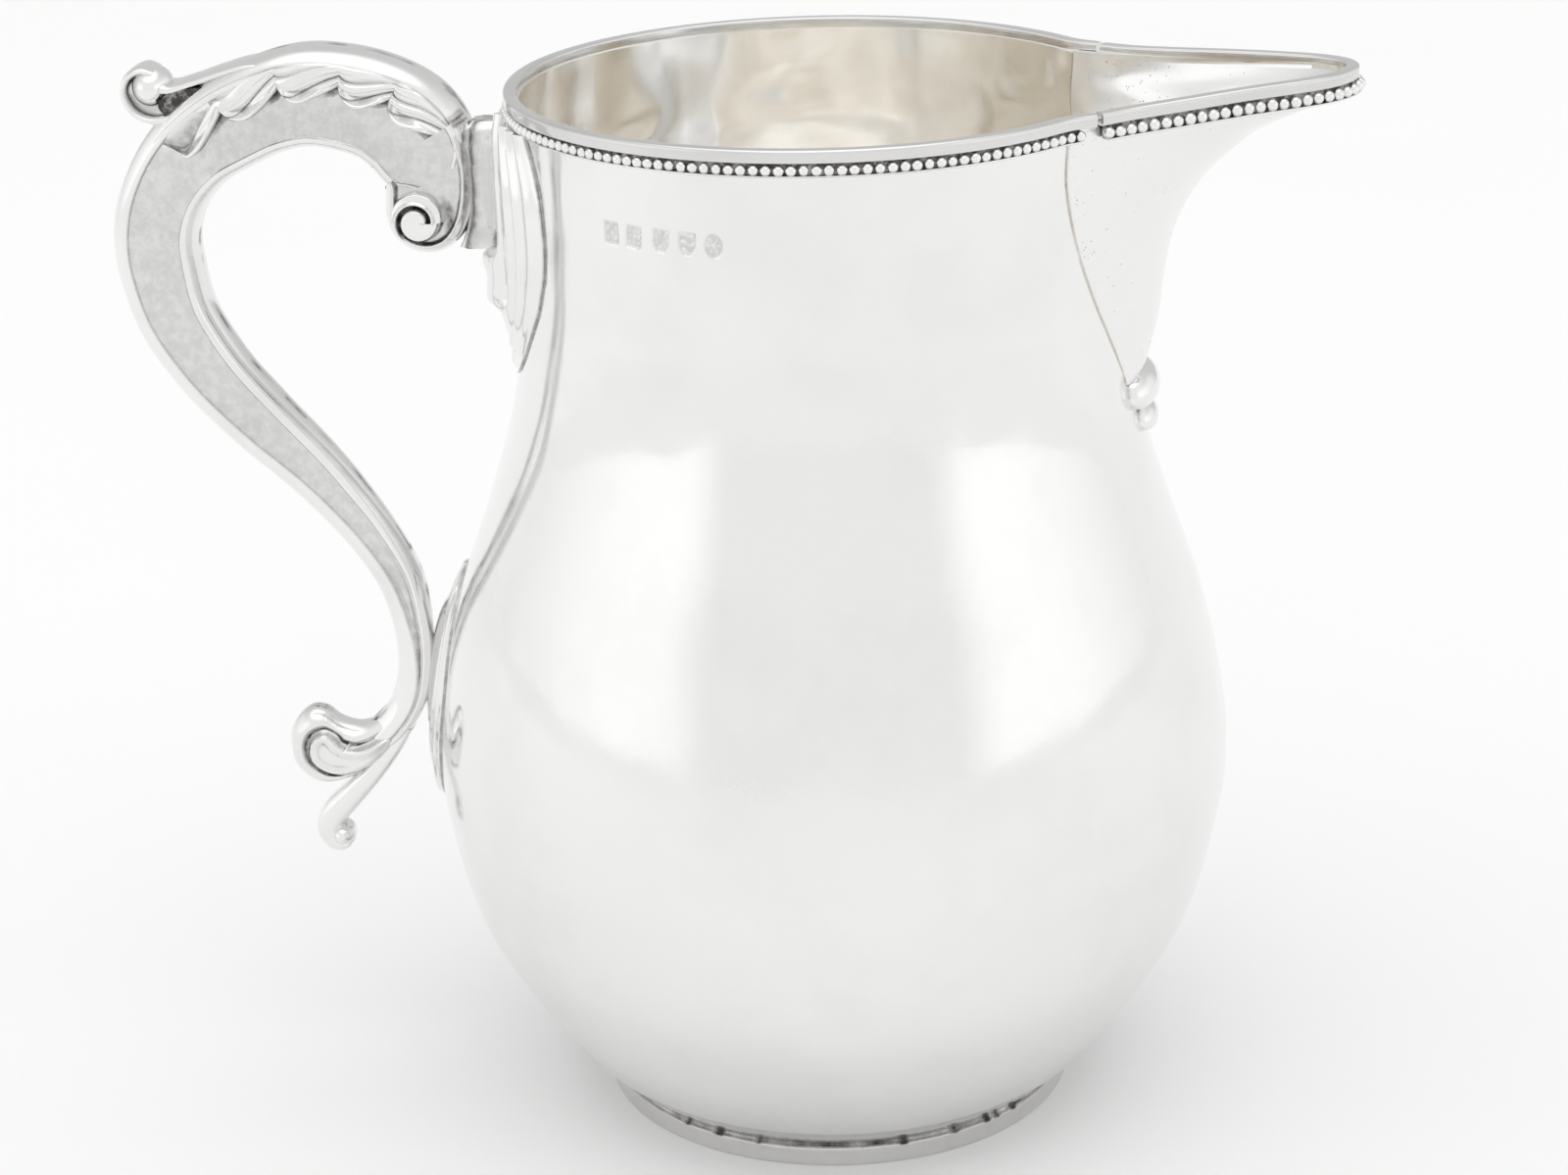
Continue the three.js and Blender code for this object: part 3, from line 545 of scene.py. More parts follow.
# ---- spout --------------------------------------------------------------------------------------
def spout_points(t, s):
    """Outside of the spout: t runs up it, s from its far edge (-1) to its near edge (1)."""
    z, angle, reach, keel = np.moveaxis(spout_station(t), -1, 0)
    edge = polar(body_r(z), np.radians(angle), z)
    x, y = edge[..., 0], edge[..., 1]
    bowed = [x + lerp(0.45, 0.31, t) * (reach - x), y * lerp(0.75, 0.626, t), lerp(z, keel, 0.3)]
    corners = [
        edge,
        np.stack(bowed, -1),
        np.stack([reach, y * lerp(0.5, 0.4, t), lerp(z, keel, 0.85)], -1),
        np.stack([reach, 0 * reach, keel], -1),
    ]
    u = (1 - abs(s))[..., None]
    share = [(1 - u) ** 3, 3 * u * (1 - u) ** 2, 3 * u**2 * (1 - u), u**3]
    point = sum(w * corner for w, corner in zip(share, corners))
    point[..., 1] *= np.where(s < 0, -1, 1)
    return point


def spout():
    """The spout's sheet, whose upper edge runs up into the rim's moulding."""
    t, s = np.meshgrid(np.linspace(0, 1, 120), np.linspace(-1, 1, 161), indexing="ij")
    outer = spout_points(t, s)
    along, across = np.gradient(outer, axis=0), np.gradient(outer, axis=1)
    normal = np.cross(across, along)
    normal /= np.linalg.norm(normal, axis=-1, keepdims=True) + 1e-12
    if normal[60, 80, 0] > 0:
        normal = -normal
    edge = ease(0, 0.05, 1 - abs(s))[..., None]
    inner = outer + normal * WALL
    outer = outer - normal * 0.16 * edge
    outer += normal * (0.012 * ripple(outer, 9, 7) + 0.02 * ripple(outer, 21, 8))[..., None]
    inner += normal * (0.04 * ripple(inner, 12, 9))[..., None]
    rings = np.concatenate([outer, inner[:, ::-1]], axis=1)
    lifted = rings[-1:] + [0, 0, 0.9]
    rings = np.concatenate([rings, lifted])
    dark = np.zeros(rings.shape[:2])
    dark[:, [0, 160]] = 0.12
    return loft(rings, dark, sheet=True)


def boss(z_middle, half_angle, tall, proud, droop, contact):
    """A rounded drop that lies across the body below the spout, with painted shade along the upper side of its
    line of contact.
    """
    s = np.sin(np.linspace(-1, 1, 81) * math.pi / 2 * 0.995)[:, None]
    round_end = np.sqrt(1 - abs(s) ** 2.4)
    turn = np.radians(np.linspace(-90, 90, 33))[None, :]
    z = z_middle - droop * s**2 + tall * np.sqrt(1 - s**4) * np.sin(turn)
    r = body_r(z * SZ) + proud * round_end * np.cos(turn) ** 0.9 - 0.05
    front = polar(r, np.radians(half_angle) * s, z * SZ)
    back = polar(body_r(z[:, ::-1] * SZ) - 0.7, np.radians(half_angle) * s * 0.97, z[:, ::-1] * SZ)
    level = proud * round_end * np.cos(turn)
    # Painted shade: dark near the body on the drop's upper side, fading towards its ends.
    dark = 0.8 * ease(-contact, -0.05, -level) * ease(-0.4, 0.6, np.sin(turn) + 0 * s)
    dark *= 1 - 0.7 * ease(0.8, 0.96, abs(s))
    return front_and_back(front, back, dark)


def front_and_back(front, back, dark):
    """A sheet from the points of its front and of its back, which run the opposite way."""
    rings = np.concatenate([front, back], axis=1)
    return loft(rings, np.concatenate([dark, 0 * dark], axis=1), sheet=True)


# ---- rims and beads -----------------------------------------------------------------------------
RIM_R = 55.7 * SX
NOTCH = 31.4  # degrees from the spout's middle to the notch where the round rim ends
BEADS_START = 29.6  # and to the end of the beads below it


def rim_path(start, offset, z, count):
    """The round rim's outer edge, which runs out a little just before the notch."""
    angle = np.linspace(start, 360 - start, count)
    off = np.minimum(angle, 360 - angle)
    flare = 2.6 * np.clip((38.5 - off) / 7.5, 0, 1) ** 2
    return polar(RIM_R + flare + offset, np.radians(angle), z)


SPOUT_RIM_HALF = [
    [50.5, 29.3, 193], [56, 25.6, 193.2], [65, 21.2, 193.7], [75, 16.5, 194.3], [85, 11.8, 194.7],
    [90, 8.6, 194.9], [93.3, 4.6, 195.1],
]
near_half = np.array(SPOUT_RIM_HALF)
SPOUT_RIM = np.vstack([near_half * MIRROR, [[94.5, 0, 195.2]], near_half[::-1]]) * [SX, SX, SZ]


def outwards(path):
    along = np.gradient(path, axis=0)
    out = np.stack([along[:, 1], -along[:, 0], 0 * along[:, 0]], -1)
    return out / np.linalg.norm(out, axis=1, keepdims=True)


def moulding(path, section, dark=None):
    """A strip whose section of [outwards, up] points follows a path."""
    out = outwards(path)
    section = np.array(section)
    rings = path[:, None] + out[:, None] * section[None, :, :1] + [0, 0, 1] * section[None, :, 1:]
    return loft(rings, None if dark is None else np.array(dark)[None, :])


def arc(cx, cz, r, start, end, count):
    a = np.radians(np.linspace(start, end, count))
    return [[cx + r * math.cos(k), cz + r * math.sin(k)] for k in a]


BAND = [
    *arc(-0.25, -RIM_H + 0.25, 0.25, -90, 0, 4), [-0.02, -1.5], *arc(-0.62, -0.62, 0.62, 0, 90, 8),
    [-1.2, 0.02], *arc(-RIM_W + 0.45, -0.45, 0.45, 90, 180, 6), [-RIM_W, -1.4],
    [-RIM_W + 0.05, -RIM_H], [-1.4, -RIM_H],
]


def ball(r, rows=9, around=14):
    tilt = np.radians(np.linspace(-78, 78, rows))
    angle = turns(around)
    return np.stack([polar(r * math.cos(a), angle, r * math.sin(a)) for a in tilt])


def beaded_wire(path, size, seed, strip_depth):
    """A row of beads, no two quite alike, on a narrow strip, with painted shade and tarnish dark between them.
    """
    length = np.linalg.norm(np.diff(path, axis=0), axis=1).sum()
    count = int(round(length / size["pitch"]))
    even = through(path[:: max(1, len(path) // 80)], 8 * count + 1)
    random = np.random.default_rng(seed)
    r = size["r"]
    template = ball(r)
    low = template[..., 2] / r
    # Painted shade: each bead is darker at its foot and a little at its top, where it sits against the strip.
    tone = 0.5 * ease(0.35, 1.0, -low) + 0.25 * ease(0.55, 1.0, low)
    shells = []
    for centre in even[4::8]:
        stretch = random.uniform(0.93, 1.06, 3)
        place = centre + random.uniform(-0.05, 0.05, 3)
        shells.append(loft(template * stretch + place, tone))
    strip_section = [
        [-strip_depth, -1.25 * r], [0.1 * r, -1.3 * r], [0.32 * r, -1.15 * r], [0.28 * r, -0.95 * r],
        [-0.25 * r, -0.7 * r], [-0.3 * r, 1.35 * r], [-strip_depth, 1.4 * r],
    ]
    # The strip is painted dark behind and between the beads, shade and tarnish together.
    shells.append(moulding(even[4:-4:2], strip_section, [0.5, 0.0, 0.0, 0.2, 0.85, 0.9, 0.9]))
    return shells


# ---- handle -------------------------------------------------------------------------------------
STEM = [  # x, z, width in the handle's plane, half thickness across it
    [-68.4, 176.2, 12.6, 5.2], [-70.2, 179.3, 18.8, 5.8], [-74, 184.8, 20, 6.2], [-80.5, 188.6, 19, 6.6],
    [-90.3, 190.4, 18.4, 6.8], [-98.5, 188.9, 17.8, 6.8], [-106, 185.6, 17.6, 6.7], [-113, 180.9, 16.5, 6.5],
    [-118.5, 174.1, 15.6, 6.3], [-121.3, 166.4, 15.5, 6.1], [-121.3, 158.5, 15.4, 5.9],
    [-118.8, 148.6, 14.6, 5.7], [-112.6, 138.2, 13.6, 5.4], [-104.3, 128.7, 12.6, 5.1], [-95, 119.2, 11, 4.8],
    [-87, 109.2, 9.6, 4.5], [-81.3, 99.5, 8.6, 4.3], [-79, 90, 7.4, 4.1], [-78.7, 81, 6.8, 4],
    [-80.8, 73.2, 6.6, 4], [-85.2, 67.2, 6.4, 3.9], [-90.5, 64.3, 3.6, 3.2],
]
stem_station = table(STEM)
SPINE = 3.2  # width of the rounded outer band beside the crisp ridge
INNER_BAND = 2.3  # and of the rounded inner one
PANEL_LEVEL = 0.86  # height of the dished side panel, as a share of the half thickness
PANEL_DISH = 0.1  # how much lower its middle lies
PANEL_TARNISH = 0.22


def stem_frame(t, station=stem_station):
    """Middle, outward direction, width and half thickness at places t along a line of the handle."""
    x, z, width, half = np.moveaxis(station(t), -1, 0)
    step = station(np.minimum(t + 0.004, 1)) - station(np.maximum(t - 0.004, 0))
    along = np.stack([step[..., 0] * SX, 0 * x, step[..., 1] * SZ], -1)
    along /= np.linalg.norm(along, axis=-1, keepdims=True)
    out = np.stack([along[..., 2], 0 * x, -along[..., 0]], -1)
    return np.stack([x * SX, 0 * x, z * SZ], -1), out, width, half


def stem_side(side):
    """One half of the stem: round outer band, dark ridge line, dished panel and round inner band."""
    t = np.linspace(0, 1, 300)
    middle, out, w, h = stem_frame(t)
    spine = np.minimum(SPINE + 1.1 * ease(0.78, 0.92, t), 0.62 * w)
    band = np.minimum(INNER_BAND, 0.22 * w)
    rows = []
    for a in np.radians(np.linspace(0, 90, 14)):
        rows.append((w / 2 - spine + spine * math.cos(a), h * math.sin(a) ** 0.85, 0))
    rows.append((w / 2 - spine - 0.16, h * 0.985, 0))
    rows.append((w / 2 - spine - 0.42, h * (PANEL_LEVEL + 0.03), 0.34))
    start, end = w / 2 - spine - 0.6, -w / 2 + band + 0.55
    for f in np.linspace(0, 1, 14):
        level = h * (PANEL_LEVEL - PANEL_DISH * math.sin(math.pi * f))
        rows.append((lerp(start, end, f), level, PANEL_TARNISH))
    rows.append((-w / 2 + band + 0.32, h * (PANEL_LEVEL + 0.01), 0.3))
    rows.append((-w / 2 + band + 0.1, h * (PANEL_LEVEL + 0.055), 0))
    for a in np.radians(np.linspace(0, 90, 11)):
        rows.append((-w / 2 + band - band * math.sin(a), h * (PANEL_LEVEL + 0.05) * math.cos(a) ** 0.8, 0))
    u = np.stack([row[0] for row in rows], -1)
    v = np.stack([row[1] for row in rows], -1)
    dark = np.broadcast_to([row[2] for row in rows], u.shape).copy()
    points = middle[:, None] + out[:, None] * u[..., None]
    points[..., 1] += side * (v + 0.02)
    seam = np.clip(ripple(points, 5, 11), 0, 1) * (v < 0.9)
    dark = np.maximum(dark, 0.7 * seam)
    points = points + out[:, None] * (0.03 * ripple(points, 14, 12))[..., None]
    return loft(points, dark)


# The leaf's lobes: where each notch between them lies along the stem, and the leaf's depth there.
NOTCHES = [row / (len(STEM) - 1) for row in (1.5, 2.6, 3.5, 4.55, 5.87, 7.3)]
NOTCH_DEPTH, LOBE_DEPTH = 3.9, 7.2
VEIN_SWEEP = 0.115  # how far a vein runs along the stem
LEAF_MARGIN = 2.2  # distance of the leaf's straight edge from the stem's outer one


def leaf(side):
    """The acanthus leaf on one side: scalloped lobes with sunk veins, and a skirt of painted shadow below
    them.
    """
    f, q = np.meshgrid(np.linspace(0, 1, 460), np.linspace(0, 1, 60), indexing="ij")
    t = lerp(NOTCHES[0], NOTCHES[-1], f)
    middle, out, w, h = stem_frame(t)
    edges = np.array(NOTCHES)

    def shingle(place):
        """Which lobe a place belongs to, as its share from 0 at the right notch to 1 at the left one."""
        lobe = np.clip(np.searchsorted(NOTCHES, place, side="right") - 1, 0, len(NOTCHES) - 2)
        return np.clip((place - edges[lobe]) / (edges[lobe + 1] - edges[lobe]), 0, 1)

    g = shingle(t)
    swell = np.sin(math.pi * g**1.6) ** 0.55
    ends = 1 - 0.85 * ease(0.95, 1, f)
    depth = lerp(NOTCH_DEPTH, LOBE_DEPTH, swell) * ends
    # Veins sweep in long shallow curves from each notch up to the crisp line below the spine.
    k = shingle(np.clip(t + VEIN_SWEEP * (1 - q) ** 1.25, edges[0], edges[-1]))
    petal = np.sin(math.pi * k**1.25) ** 0.5
    fine = bump(k, 0.42, 0.07)
    lip = 0.5 * bump(q, 0.9, 0.07) * swell
    hook = 0.6 * bump(g, 0.95, 0.05) * bump(q, 0.85, 0.2)
    vein = 0.2 * fine * ease(0.05, 0.4, q) * ease(1, 0.8, q)
    top = 0.3 + (0.35 + 1.35 * q**0.8) * petal - vein + lip + hook
    top -= 0.5 * bump(q, 0.74, 0.08) * swell
    top = top * ends * ease(0, 0.06, q)
    u = w / 2 - LEAF_MARGIN - depth * q
    base = h * lerp(0.99, 0.88, ease(0, 0.35, q))
    drop = ease(0.955, 1.0, q)
    surface = middle + out * u[..., None]
    surface[..., 1] += side * (base + top * (1 - 0.8 * drop))
    # Painted shade: dark between the lobes and along the veins, darkest where the edge drops under its rolled
    # lip, with a line where the leaf meets the spine.
    tone = 0.45 * ease(0.6, 1, 1 - petal) * ease(0.1, 0.5, q) + 0.08 * fine * ease(0.1, 0.4, q)
    tone = np.maximum(tone, 0.75 * drop) + 0.3 * ease(0.95, 1, 1 - q)

    # Below the scalloped edge a skirt of painted shadow lies on the stem's dished side, deepest in the
    # notches.
    r = np.linspace(0.02, 1, 12)[None, :]
    columns = [0] * r.size
    w, h = w[:, columns], h[:, columns]
    notch = 1 - swell[:, columns]
    reach = (LOBE_DEPTH - NOTCH_DEPTH) * (0.1 + 0.9 * notch)
    low = w / 2 - LEAF_MARGIN - depth[:, columns] - reach * r
    panel_start, panel_end = w / 2 - SPINE - 0.6, -w / 2 + INNER_BAND + 0.55
    across = np.clip((panel_start - low) / (panel_start - panel_end), 0, 1)
    skirt = middle[:, columns] + out[:, columns] * low[..., None]
    skirt[..., 1] += side * (h * (PANEL_LEVEL - PANEL_DISH * np.sin(math.pi * across)) + 0.05 * (1 - r))
    skirt_shadow_tone = (0.25 + 0.7 * ease(0.1, 0.8, notch)) * (1 - r) ** 1.2 * ease(0.98, 0.9, f[:, columns])
    skirt_shadow_tone = skirt_shadow_tone + PANEL_TARNISH * r

    # The back, inside the stem under the leaf, is painted dark as shade.
    back_u = u[:, [-1, 22, 0]]
    back = middle[:, [0, 0, 0]] + out[:, [0, 0, 0]] * back_u[..., None]
    back[..., 1] += side * (0.6 * h[:, [0, 0, 0]])
    rings = np.concatenate([surface, skirt, back], axis=1)
    return loft(rings, np.concatenate([tone, skirt_shadow_tone, tone[:, :3] * 0 + 0.9], axis=1))


def relief(outline, centre, height, dark, rows, around, power=1.7):
    """A body on the handle's plane, its two faces shaped by a height and toned by a tarnish and painted shade
    of [x, z].
    """
    edge = through(outline, around, closed=True)
    centre = np.array(centre, float)
    share = 1 - (1 - np.linspace(0.004, 1, rows)) ** power
    flat = centre + (edge - centre)[None] * share[:, None, None]
    level = height(flat)
    near = np.stack([flat[..., 0] * SX, -level, flat[..., 1] * SZ], -1)
    far = near[::-1] * MIRROR
    tone = dark(flat)
    return loft(np.concatenate([near, far]), np.concatenate([tone, tone[::-1]]))


VOLUTE = [
    [-63.1, 184.9], [-61.7, 178], [-62, 171.5], [-63.8, 166.2], [-66.6, 163], [-70.3, 161.7],
    [-74.2, 162.4], [-77.3, 164.9], [-78.6, 168.6], [-78.5, 171.6], [-78.3, 174.3],
]
EYE = np.array([-72.3, 168.2])
VOLUTE_BAND = 2.1  # width of the rounded band outside the ridge


def spine_profile(apart, half, width):
    """Height of the side face at a distance inside the outline: round band, ridge, then the panel."""
    rise = half * np.sqrt(np.clip(1 - (1 - np.clip(apart / width, 0, 1)) ** 2, 0, 1)) ** 0.85
    panel = half * (PANEL_LEVEL - PANEL_DISH * ease(width + 0.4, width + 4, apart))
    ridge = 0.35 * bump(apart, width - 0.1, 0.45)
    return np.where(apart < width, rise, lerp(half, panel, ease(width, width + 0.5, apart))) + ridge


def volute():
    edge = through(VOLUTE, 200)

    def height(flat):
        return spine_profile(distance(flat, edge), 5.9, VOLUTE_BAND)

    def dark(flat):
        apart = distance(flat, edge)
        from_eye = flat - EYE
        round_eye = np.hypot(from_eye[..., 0], from_eye[..., 1])
        facing = np.cos(np.arctan2(from_eye[..., 1], from_eye[..., 0]) + 0.5)
        # Painted shade: a dark line in the groove inside the ridge that fades out towards the top, and a pool
        # of painted shadow round the eye on one side.
        line = 0.65 * bump(apart, VOLUTE_BAND + 0.45, 0.35) * ease(183, 176, flat[..., 1])
        shadow_pool = 0.75 * bump(round_eye, 6.1, 1.1) * ease(-0.1, 0.8, facing) * (apart > VOLUTE_BAND)
        return np.maximum(np.maximum(line, shadow_pool), PANEL_TARNISH * (apart > VOLUTE_BAND + 0.5))

    # The straight end towards the stem is hidden in it, so the outline is closed there by a line.
    straight = np.linspace(VOLUTE[-1], VOLUTE[0], 9)[1:-1]
    outline = np.vstack([edge[::6], straight])
    return relief(outline, (-70.6, 173.5), height, dark, rows=90, around=300, power=1.3)


def volute_eye(side):
    """The ball in the volute's eye and the collar that winds round it."""
    angle = turns(160)
    share = np.linspace(0.01, 1, 60)[:, None]
    collar = 5.0 + 0.7 * np.cos(angle - 1.7)
    radius = share * collar
    groove = 2.15 + 2.2 * angle / (2 * np.pi)
    apart = radius - groove
    level = 5.0 + 2.1 * np.sqrt(np.clip(1 - (radius / 6.0) ** 2, 0, 1))
    level -= 1.15 * bump(apart, 0, 0.36)
    level += 0.35 * bump(apart, 0.75, 0.3) + 0.15 * bump(apart, -0.7, 0.4)
    level -= 2.6 * ease(0.86, 1.0, share) ** 2
    dark = 0.95 * bump(apart, 0.05, 0.3)
    # The second term is painted shadow, a crescent on one side of the collar's outer slope.
    dark = dark + 0.75 * ease(0.9, 1, share) * ease(-0.4, 0.9, np.cos(angle + 0.3))
    x, z = EYE[0] + radius * np.cos(angle), EYE[1] + radius * np.sin(angle)
    points = np.stack([x * SX, side * level, z * SZ], -1)
    back = points[-1:] * [1, 0, 1] + [0, side * 3.0, 0]
    return loft(np.concatenate([points, back]), np.concatenate([dark, dark[-1:]]))


def scroll(rows, count, squareness=0.8):
    """A scroll of rounded sections along its own line of [x, z, width, half thickness] rows."""
    t = np.linspace(0, 1, count)
    middle, out, w, h = stem_frame(t, table(rows))
    a = turns(40)
    cos, sin = np.cos(a), np.sin(a)
    u = np.sign(cos) * abs(cos) ** squareness
    v = np.sign(sin) * abs(sin) ** squareness
    points = middle[:, None] + out[:, None] * (w / 2)[:, None, None] * u[None, :, None]
    points[..., 1] += h[:, None] * v[None]
    return loft(points)


THUMB_TURN = [
    [-108.5, 190.2, 5.0, 6.6], [-112.6, 188.3, 3.6, 6.2], [-116.4, 186.9, 2.6, 5.6],
    [-119.9, 186.5, 2.0, 5.2], [-123.0, 187.8, 1.7, 4.9], [-124.7, 190.7, 1.5, 4.7],
    [-124.0, 193.8, 1.6, 4.6], [-121.6, 195.3, 1.6, 4.3], [-119.2, 194.6, 1.6, 3.8],
]
THUMB_RIB = [
    [-97, 196.6, 1.0, 5.6], [-102, 196.2, 1.6, 5.5], [-107, 194.8, 1.8, 5.1], [-112, 193.1, 1.9, 4.7],
    [-116.5, 191.8, 2.2, 4.4], [-119.2, 192.3, 3.4, 4.0],
]
THUMB_WEB = [
    [-106, 192.5], [-111, 192.4], [-116.5, 191.3], [-118.4, 189.2], [-117.2, 187.6], [-112, 188.0],
    [-107, 189.6],
]


def thumb():
    """The leaf's curled end: a turn, the rib above it, a ball in the turn and, between them, a web painted
    dark as shade.
    """
    def even(value):
        return lambda flat: np.full(flat.shape[:-1], value)

    globe = loft(ball(1.0, 30, 44) * [3.7, 5.3, 3.7] + [-120.1 * SX, 0, 192.0 * SZ])
    # The web is a flat plate painted dark as the shade between the turn and the rib.
    shadow_web = relief(THUMB_WEB, (-112.5, 190.2), even(4.2), even(0.95), rows=16, around=90)
    return [scroll(THUMB_TURN, 90), scroll(THUMB_RIB, 60), globe, shadow_web]


TERMINAL = [
    [-81.4, 75.2], [-84.4, 71.9], [-87.6, 69.6], [-90.8, 68.7], [-94.0, 69.6], [-96.6, 71.6], [-99.4, 72.0],
    [-101.9, 70.4], [-103.6, 67.6], [-103.9, 64.3], [-103.3, 60.8], [-100.9, 58], [-97.9, 56.6],
    [-93.6, 57.3], [-89.5, 59.4], [-85.6, 62.4], [-81.6, 66.0], [-79.2, 70.2], [-79.0, 74.6],
]
COMMA = [  # the outline of the sunk comma in the terminal's face
    [-84.4, 66.6], [-88.3, 64.9], [-90.9, 64.3], [-93.8, 65.1], [-95.4, 66.8], [-97, 67.4], [-98.7, 66.4],
    [-99.5, 64.4], [-99, 62.1], [-96.7, 60.3], [-93.3, 59.7], [-89, 60.8], [-84.6, 63.6],
]


def terminal():
    edge = through(TERMINAL, 200, closed=True)
    comma = through(COMMA, 120, closed=True)
    edge_loop, comma_loop = np.vstack([edge, edge[:1]]), np.vstack([comma, comma[:1]])

    def in_comma(flat):
        return np.where(encloses(flat, comma), 1, -1) * distance(flat, comma_loop)

    def level(flat):
        apart = distance(flat, edge_loop)
        within = in_comma(flat)
        dome = 4.5 * np.sqrt(np.clip(1 - (1 - np.clip(apart / 3.4, 0, 1)) ** 2, 0, 1)) ** 0.9
        dome -= 0.9 * bump(within, -1.1, 0.7) * ease(0.6, 2.4, apart)
        taper = 1 - 0.5 * ease(-88, -80, flat[..., 0])
        return (dome + 0.75 * ease(-0.35, 0.15, within) - 0.45 * ease(0.3, 1.8, within)) * taper

    def dark(flat):
        return 0.45 * bump(in_comma(flat), -0.45, 0.3)

    return relief(TERMINAL, (-94.3, 63.6), level, dark, rows=64, around=260)


def tail():
    hook = scroll([
        [-80.9, 68.6, 2.4, 3.2], [-84.0, 64.2, 3.4, 3.3], [-88.2, 59.0, 4.2, 3.4], [-92.9, 53.9, 4.9, 3.4],
        [-96.3, 50.2, 5.3, 3.4], [-97.6, 47.0, 4.7, 3.3], [-96.6, 44.5, 3.6, 3.1], [-94.9, 43.9, 2.6, 2.9],
        [-93.6, 44.8, 1.6, 2.4],
    ], 110, squareness=0.62)
    curl = loft(ball(1.0, 24, 36) * [2.3, 3.9, 2.3] + [-95.0 * SX, 0, 45.7 * SZ])
    return [hook, curl]


# ---- mounts -------------------------------------------------------------------------------------
def mount(rows, count, around, flutes, rib):
    """A cast plate on the body at the handle's side, from [z, half angle, thickness, rib height] rows.

    Its flutes(s, z) are added to its height. The rib is a ridge of the given half width in mm.
    """
    t, s = np.meshgrid(np.linspace(0, 1, count), np.linspace(-1, 1, around), indexing="ij")
    z, half, thick, middle = np.moveaxis(table(rows)(t), -1, 0)
    crown = np.clip(1 - abs(s) ** 2.8, 0, 1) ** 0.62
    across = np.radians(half) * s * body_r(z * SZ)
    proud = 0.3 + (thick - 0.3) * crown + flutes(s, z) * ease(0, 0.12, 1 - abs(s))
    proud += middle * np.exp(-((abs(across) / rib) ** 3))
    base = body_r(z * SZ)
    front = polar(base + proud, math.pi + np.radians(half) * s, z * SZ)
    back = polar(base - 0.6, math.pi + np.radians(half) * s * 0.98, z * SZ)
    return front_and_back(front, back[:, ::-1], 0.5 * ease(0.99, 1.0, abs(s)))


UPPER_MOUNT = [
    [140.4, 7, 0.6, 0.2], [142.6, 14, 1.6, 0.6], [146, 19, 1.9, 1.0], [150.5, 23, 2.3, 2.2],
    [153, 25, 2.7, 4.4], [157, 28, 3.0, 4.3], [161, 30, 3.2, 4.8], [164, 31.5, 3.3, 1.6],
    [170, 32.5, 3.4, 0.8], [178, 31.5, 3.3, 0.7], [184, 28.5, 3.1, 0.7], [187.8, 25, 2.6, 0.4],
]
LOWER_MOUNT = [
    [56.2, 4, 1.1, 0.5], [60, 10, 1.7, 0.9], [68, 14, 1.9, 1.5], [76, 15, 1.5, 2.2], [84, 13.5, 1.4, 2.4],
    [92, 9.5, 1.4, 1.9], [97, 6, 1.0, 0.6], [101.4, 1.5, 0.4, 0.1],
]


def upper_flutes(s, z):
    """Ridges that fan down from the top, a wide flute with a round foot, and two steps at the bottom."""
    a = abs(s)
    long_lines = ease(150, 155, z)
    ridges = 1.1 * bump(a, 0.2, 0.03) + 0.9 * bump(a, 0.6, 0.035) + 0.7 * bump(a, 0.76, 0.03)
    ridges = ridges + 0.5 * bump(a, 0.9, 0.03)
    troughs = 1.45 * bump(a, 0.4, 0.12) + 0.5 * bump(a, 0.68, 0.04) + 0.45 * bump(a, 0.83, 0.04)
    round_foot = np.hypot((a - 0.4) / 0.17, (z - 155.5) / 3.4)
    foot_lip = 0.75 * bump(round_foot, 1, 0.16) * ease(157.5, 154.5, z)
    cup = -1.0 * bump(round_foot, 0, 0.75) * ease(157.5, 154.5, z)
    steps = 0.55 * ease(147.6, 146.4, z) + 0.4 * ease(143.6, 142.6, z)
    low = 0.5 * bump(a, 0.62, 0.07) * (1 - long_lines)
    return (ridges - troughs) * long_lines + foot_lip + cup * (1 - long_lines) - steps + low


def lower_flutes(s, z):
    a = abs(s)
    return 0.6 * bump(a, 0.45, 0.08) - 0.45 * bump(a, 0.66, 0.1) + 0.45 * bump(a, 0.84, 0.06)


NECK = [  # height, x at the body and at the volute, half width
    [162.6, -57.5, -65.5, 3.2], [164.6, -57.5, -64.6, 4.0], [167.4, -56.5, -63.7, 5.2],
    [171.5, -56.5, -63.1, 5.8], [178, -56.5, -63.0, 5.8], [182, -56.5, -63.2, 5.2],
    [184.6, -56.5, -63.0, 4.0], [185.8, -56.5, -62.2, 2.6],
]


def neck():
    """The short ridged neck, painted grey as shade all over and darker in stripes beside its ridges."""
    rows = table(NECK)(np.linspace(0, 1, 70))
    a = turns(56)
    rings = []
    for z, right, left, half in rows:
        x = (right + left) / 2 + (right - left) / 2 * np.sign(np.cos(a)) * abs(np.cos(a)) ** 0.5
        y = half * np.sign(np.sin(a)) * abs(np.sin(a)) ** 0.7 * (1 + 0.09 * np.cos(7 * a))
        rings.append(np.stack([x * SX, y, 0 * x + z * SZ], -1))
    # Painted shade: grey all over between the volute and the body, with stripes set off the ridges.
    return loft(rings, 0.36 + 0.3 * np.cos(7 * a + 1)[None, :])


VENT = [  # radius, height over the stem's side, tone: painted shade in the hole, tarnish on the burr
    [0.02, -0.6, 1], [0.42, -0.55, 1], [0.5, 0.05, 1], [0.62, 0.14, 0.5], [0.78, 0.06, 0.1],
    [0.86, -0.3, 0.3], [0.8, -1.2, 0], [0.02, -1.2, 0],
]


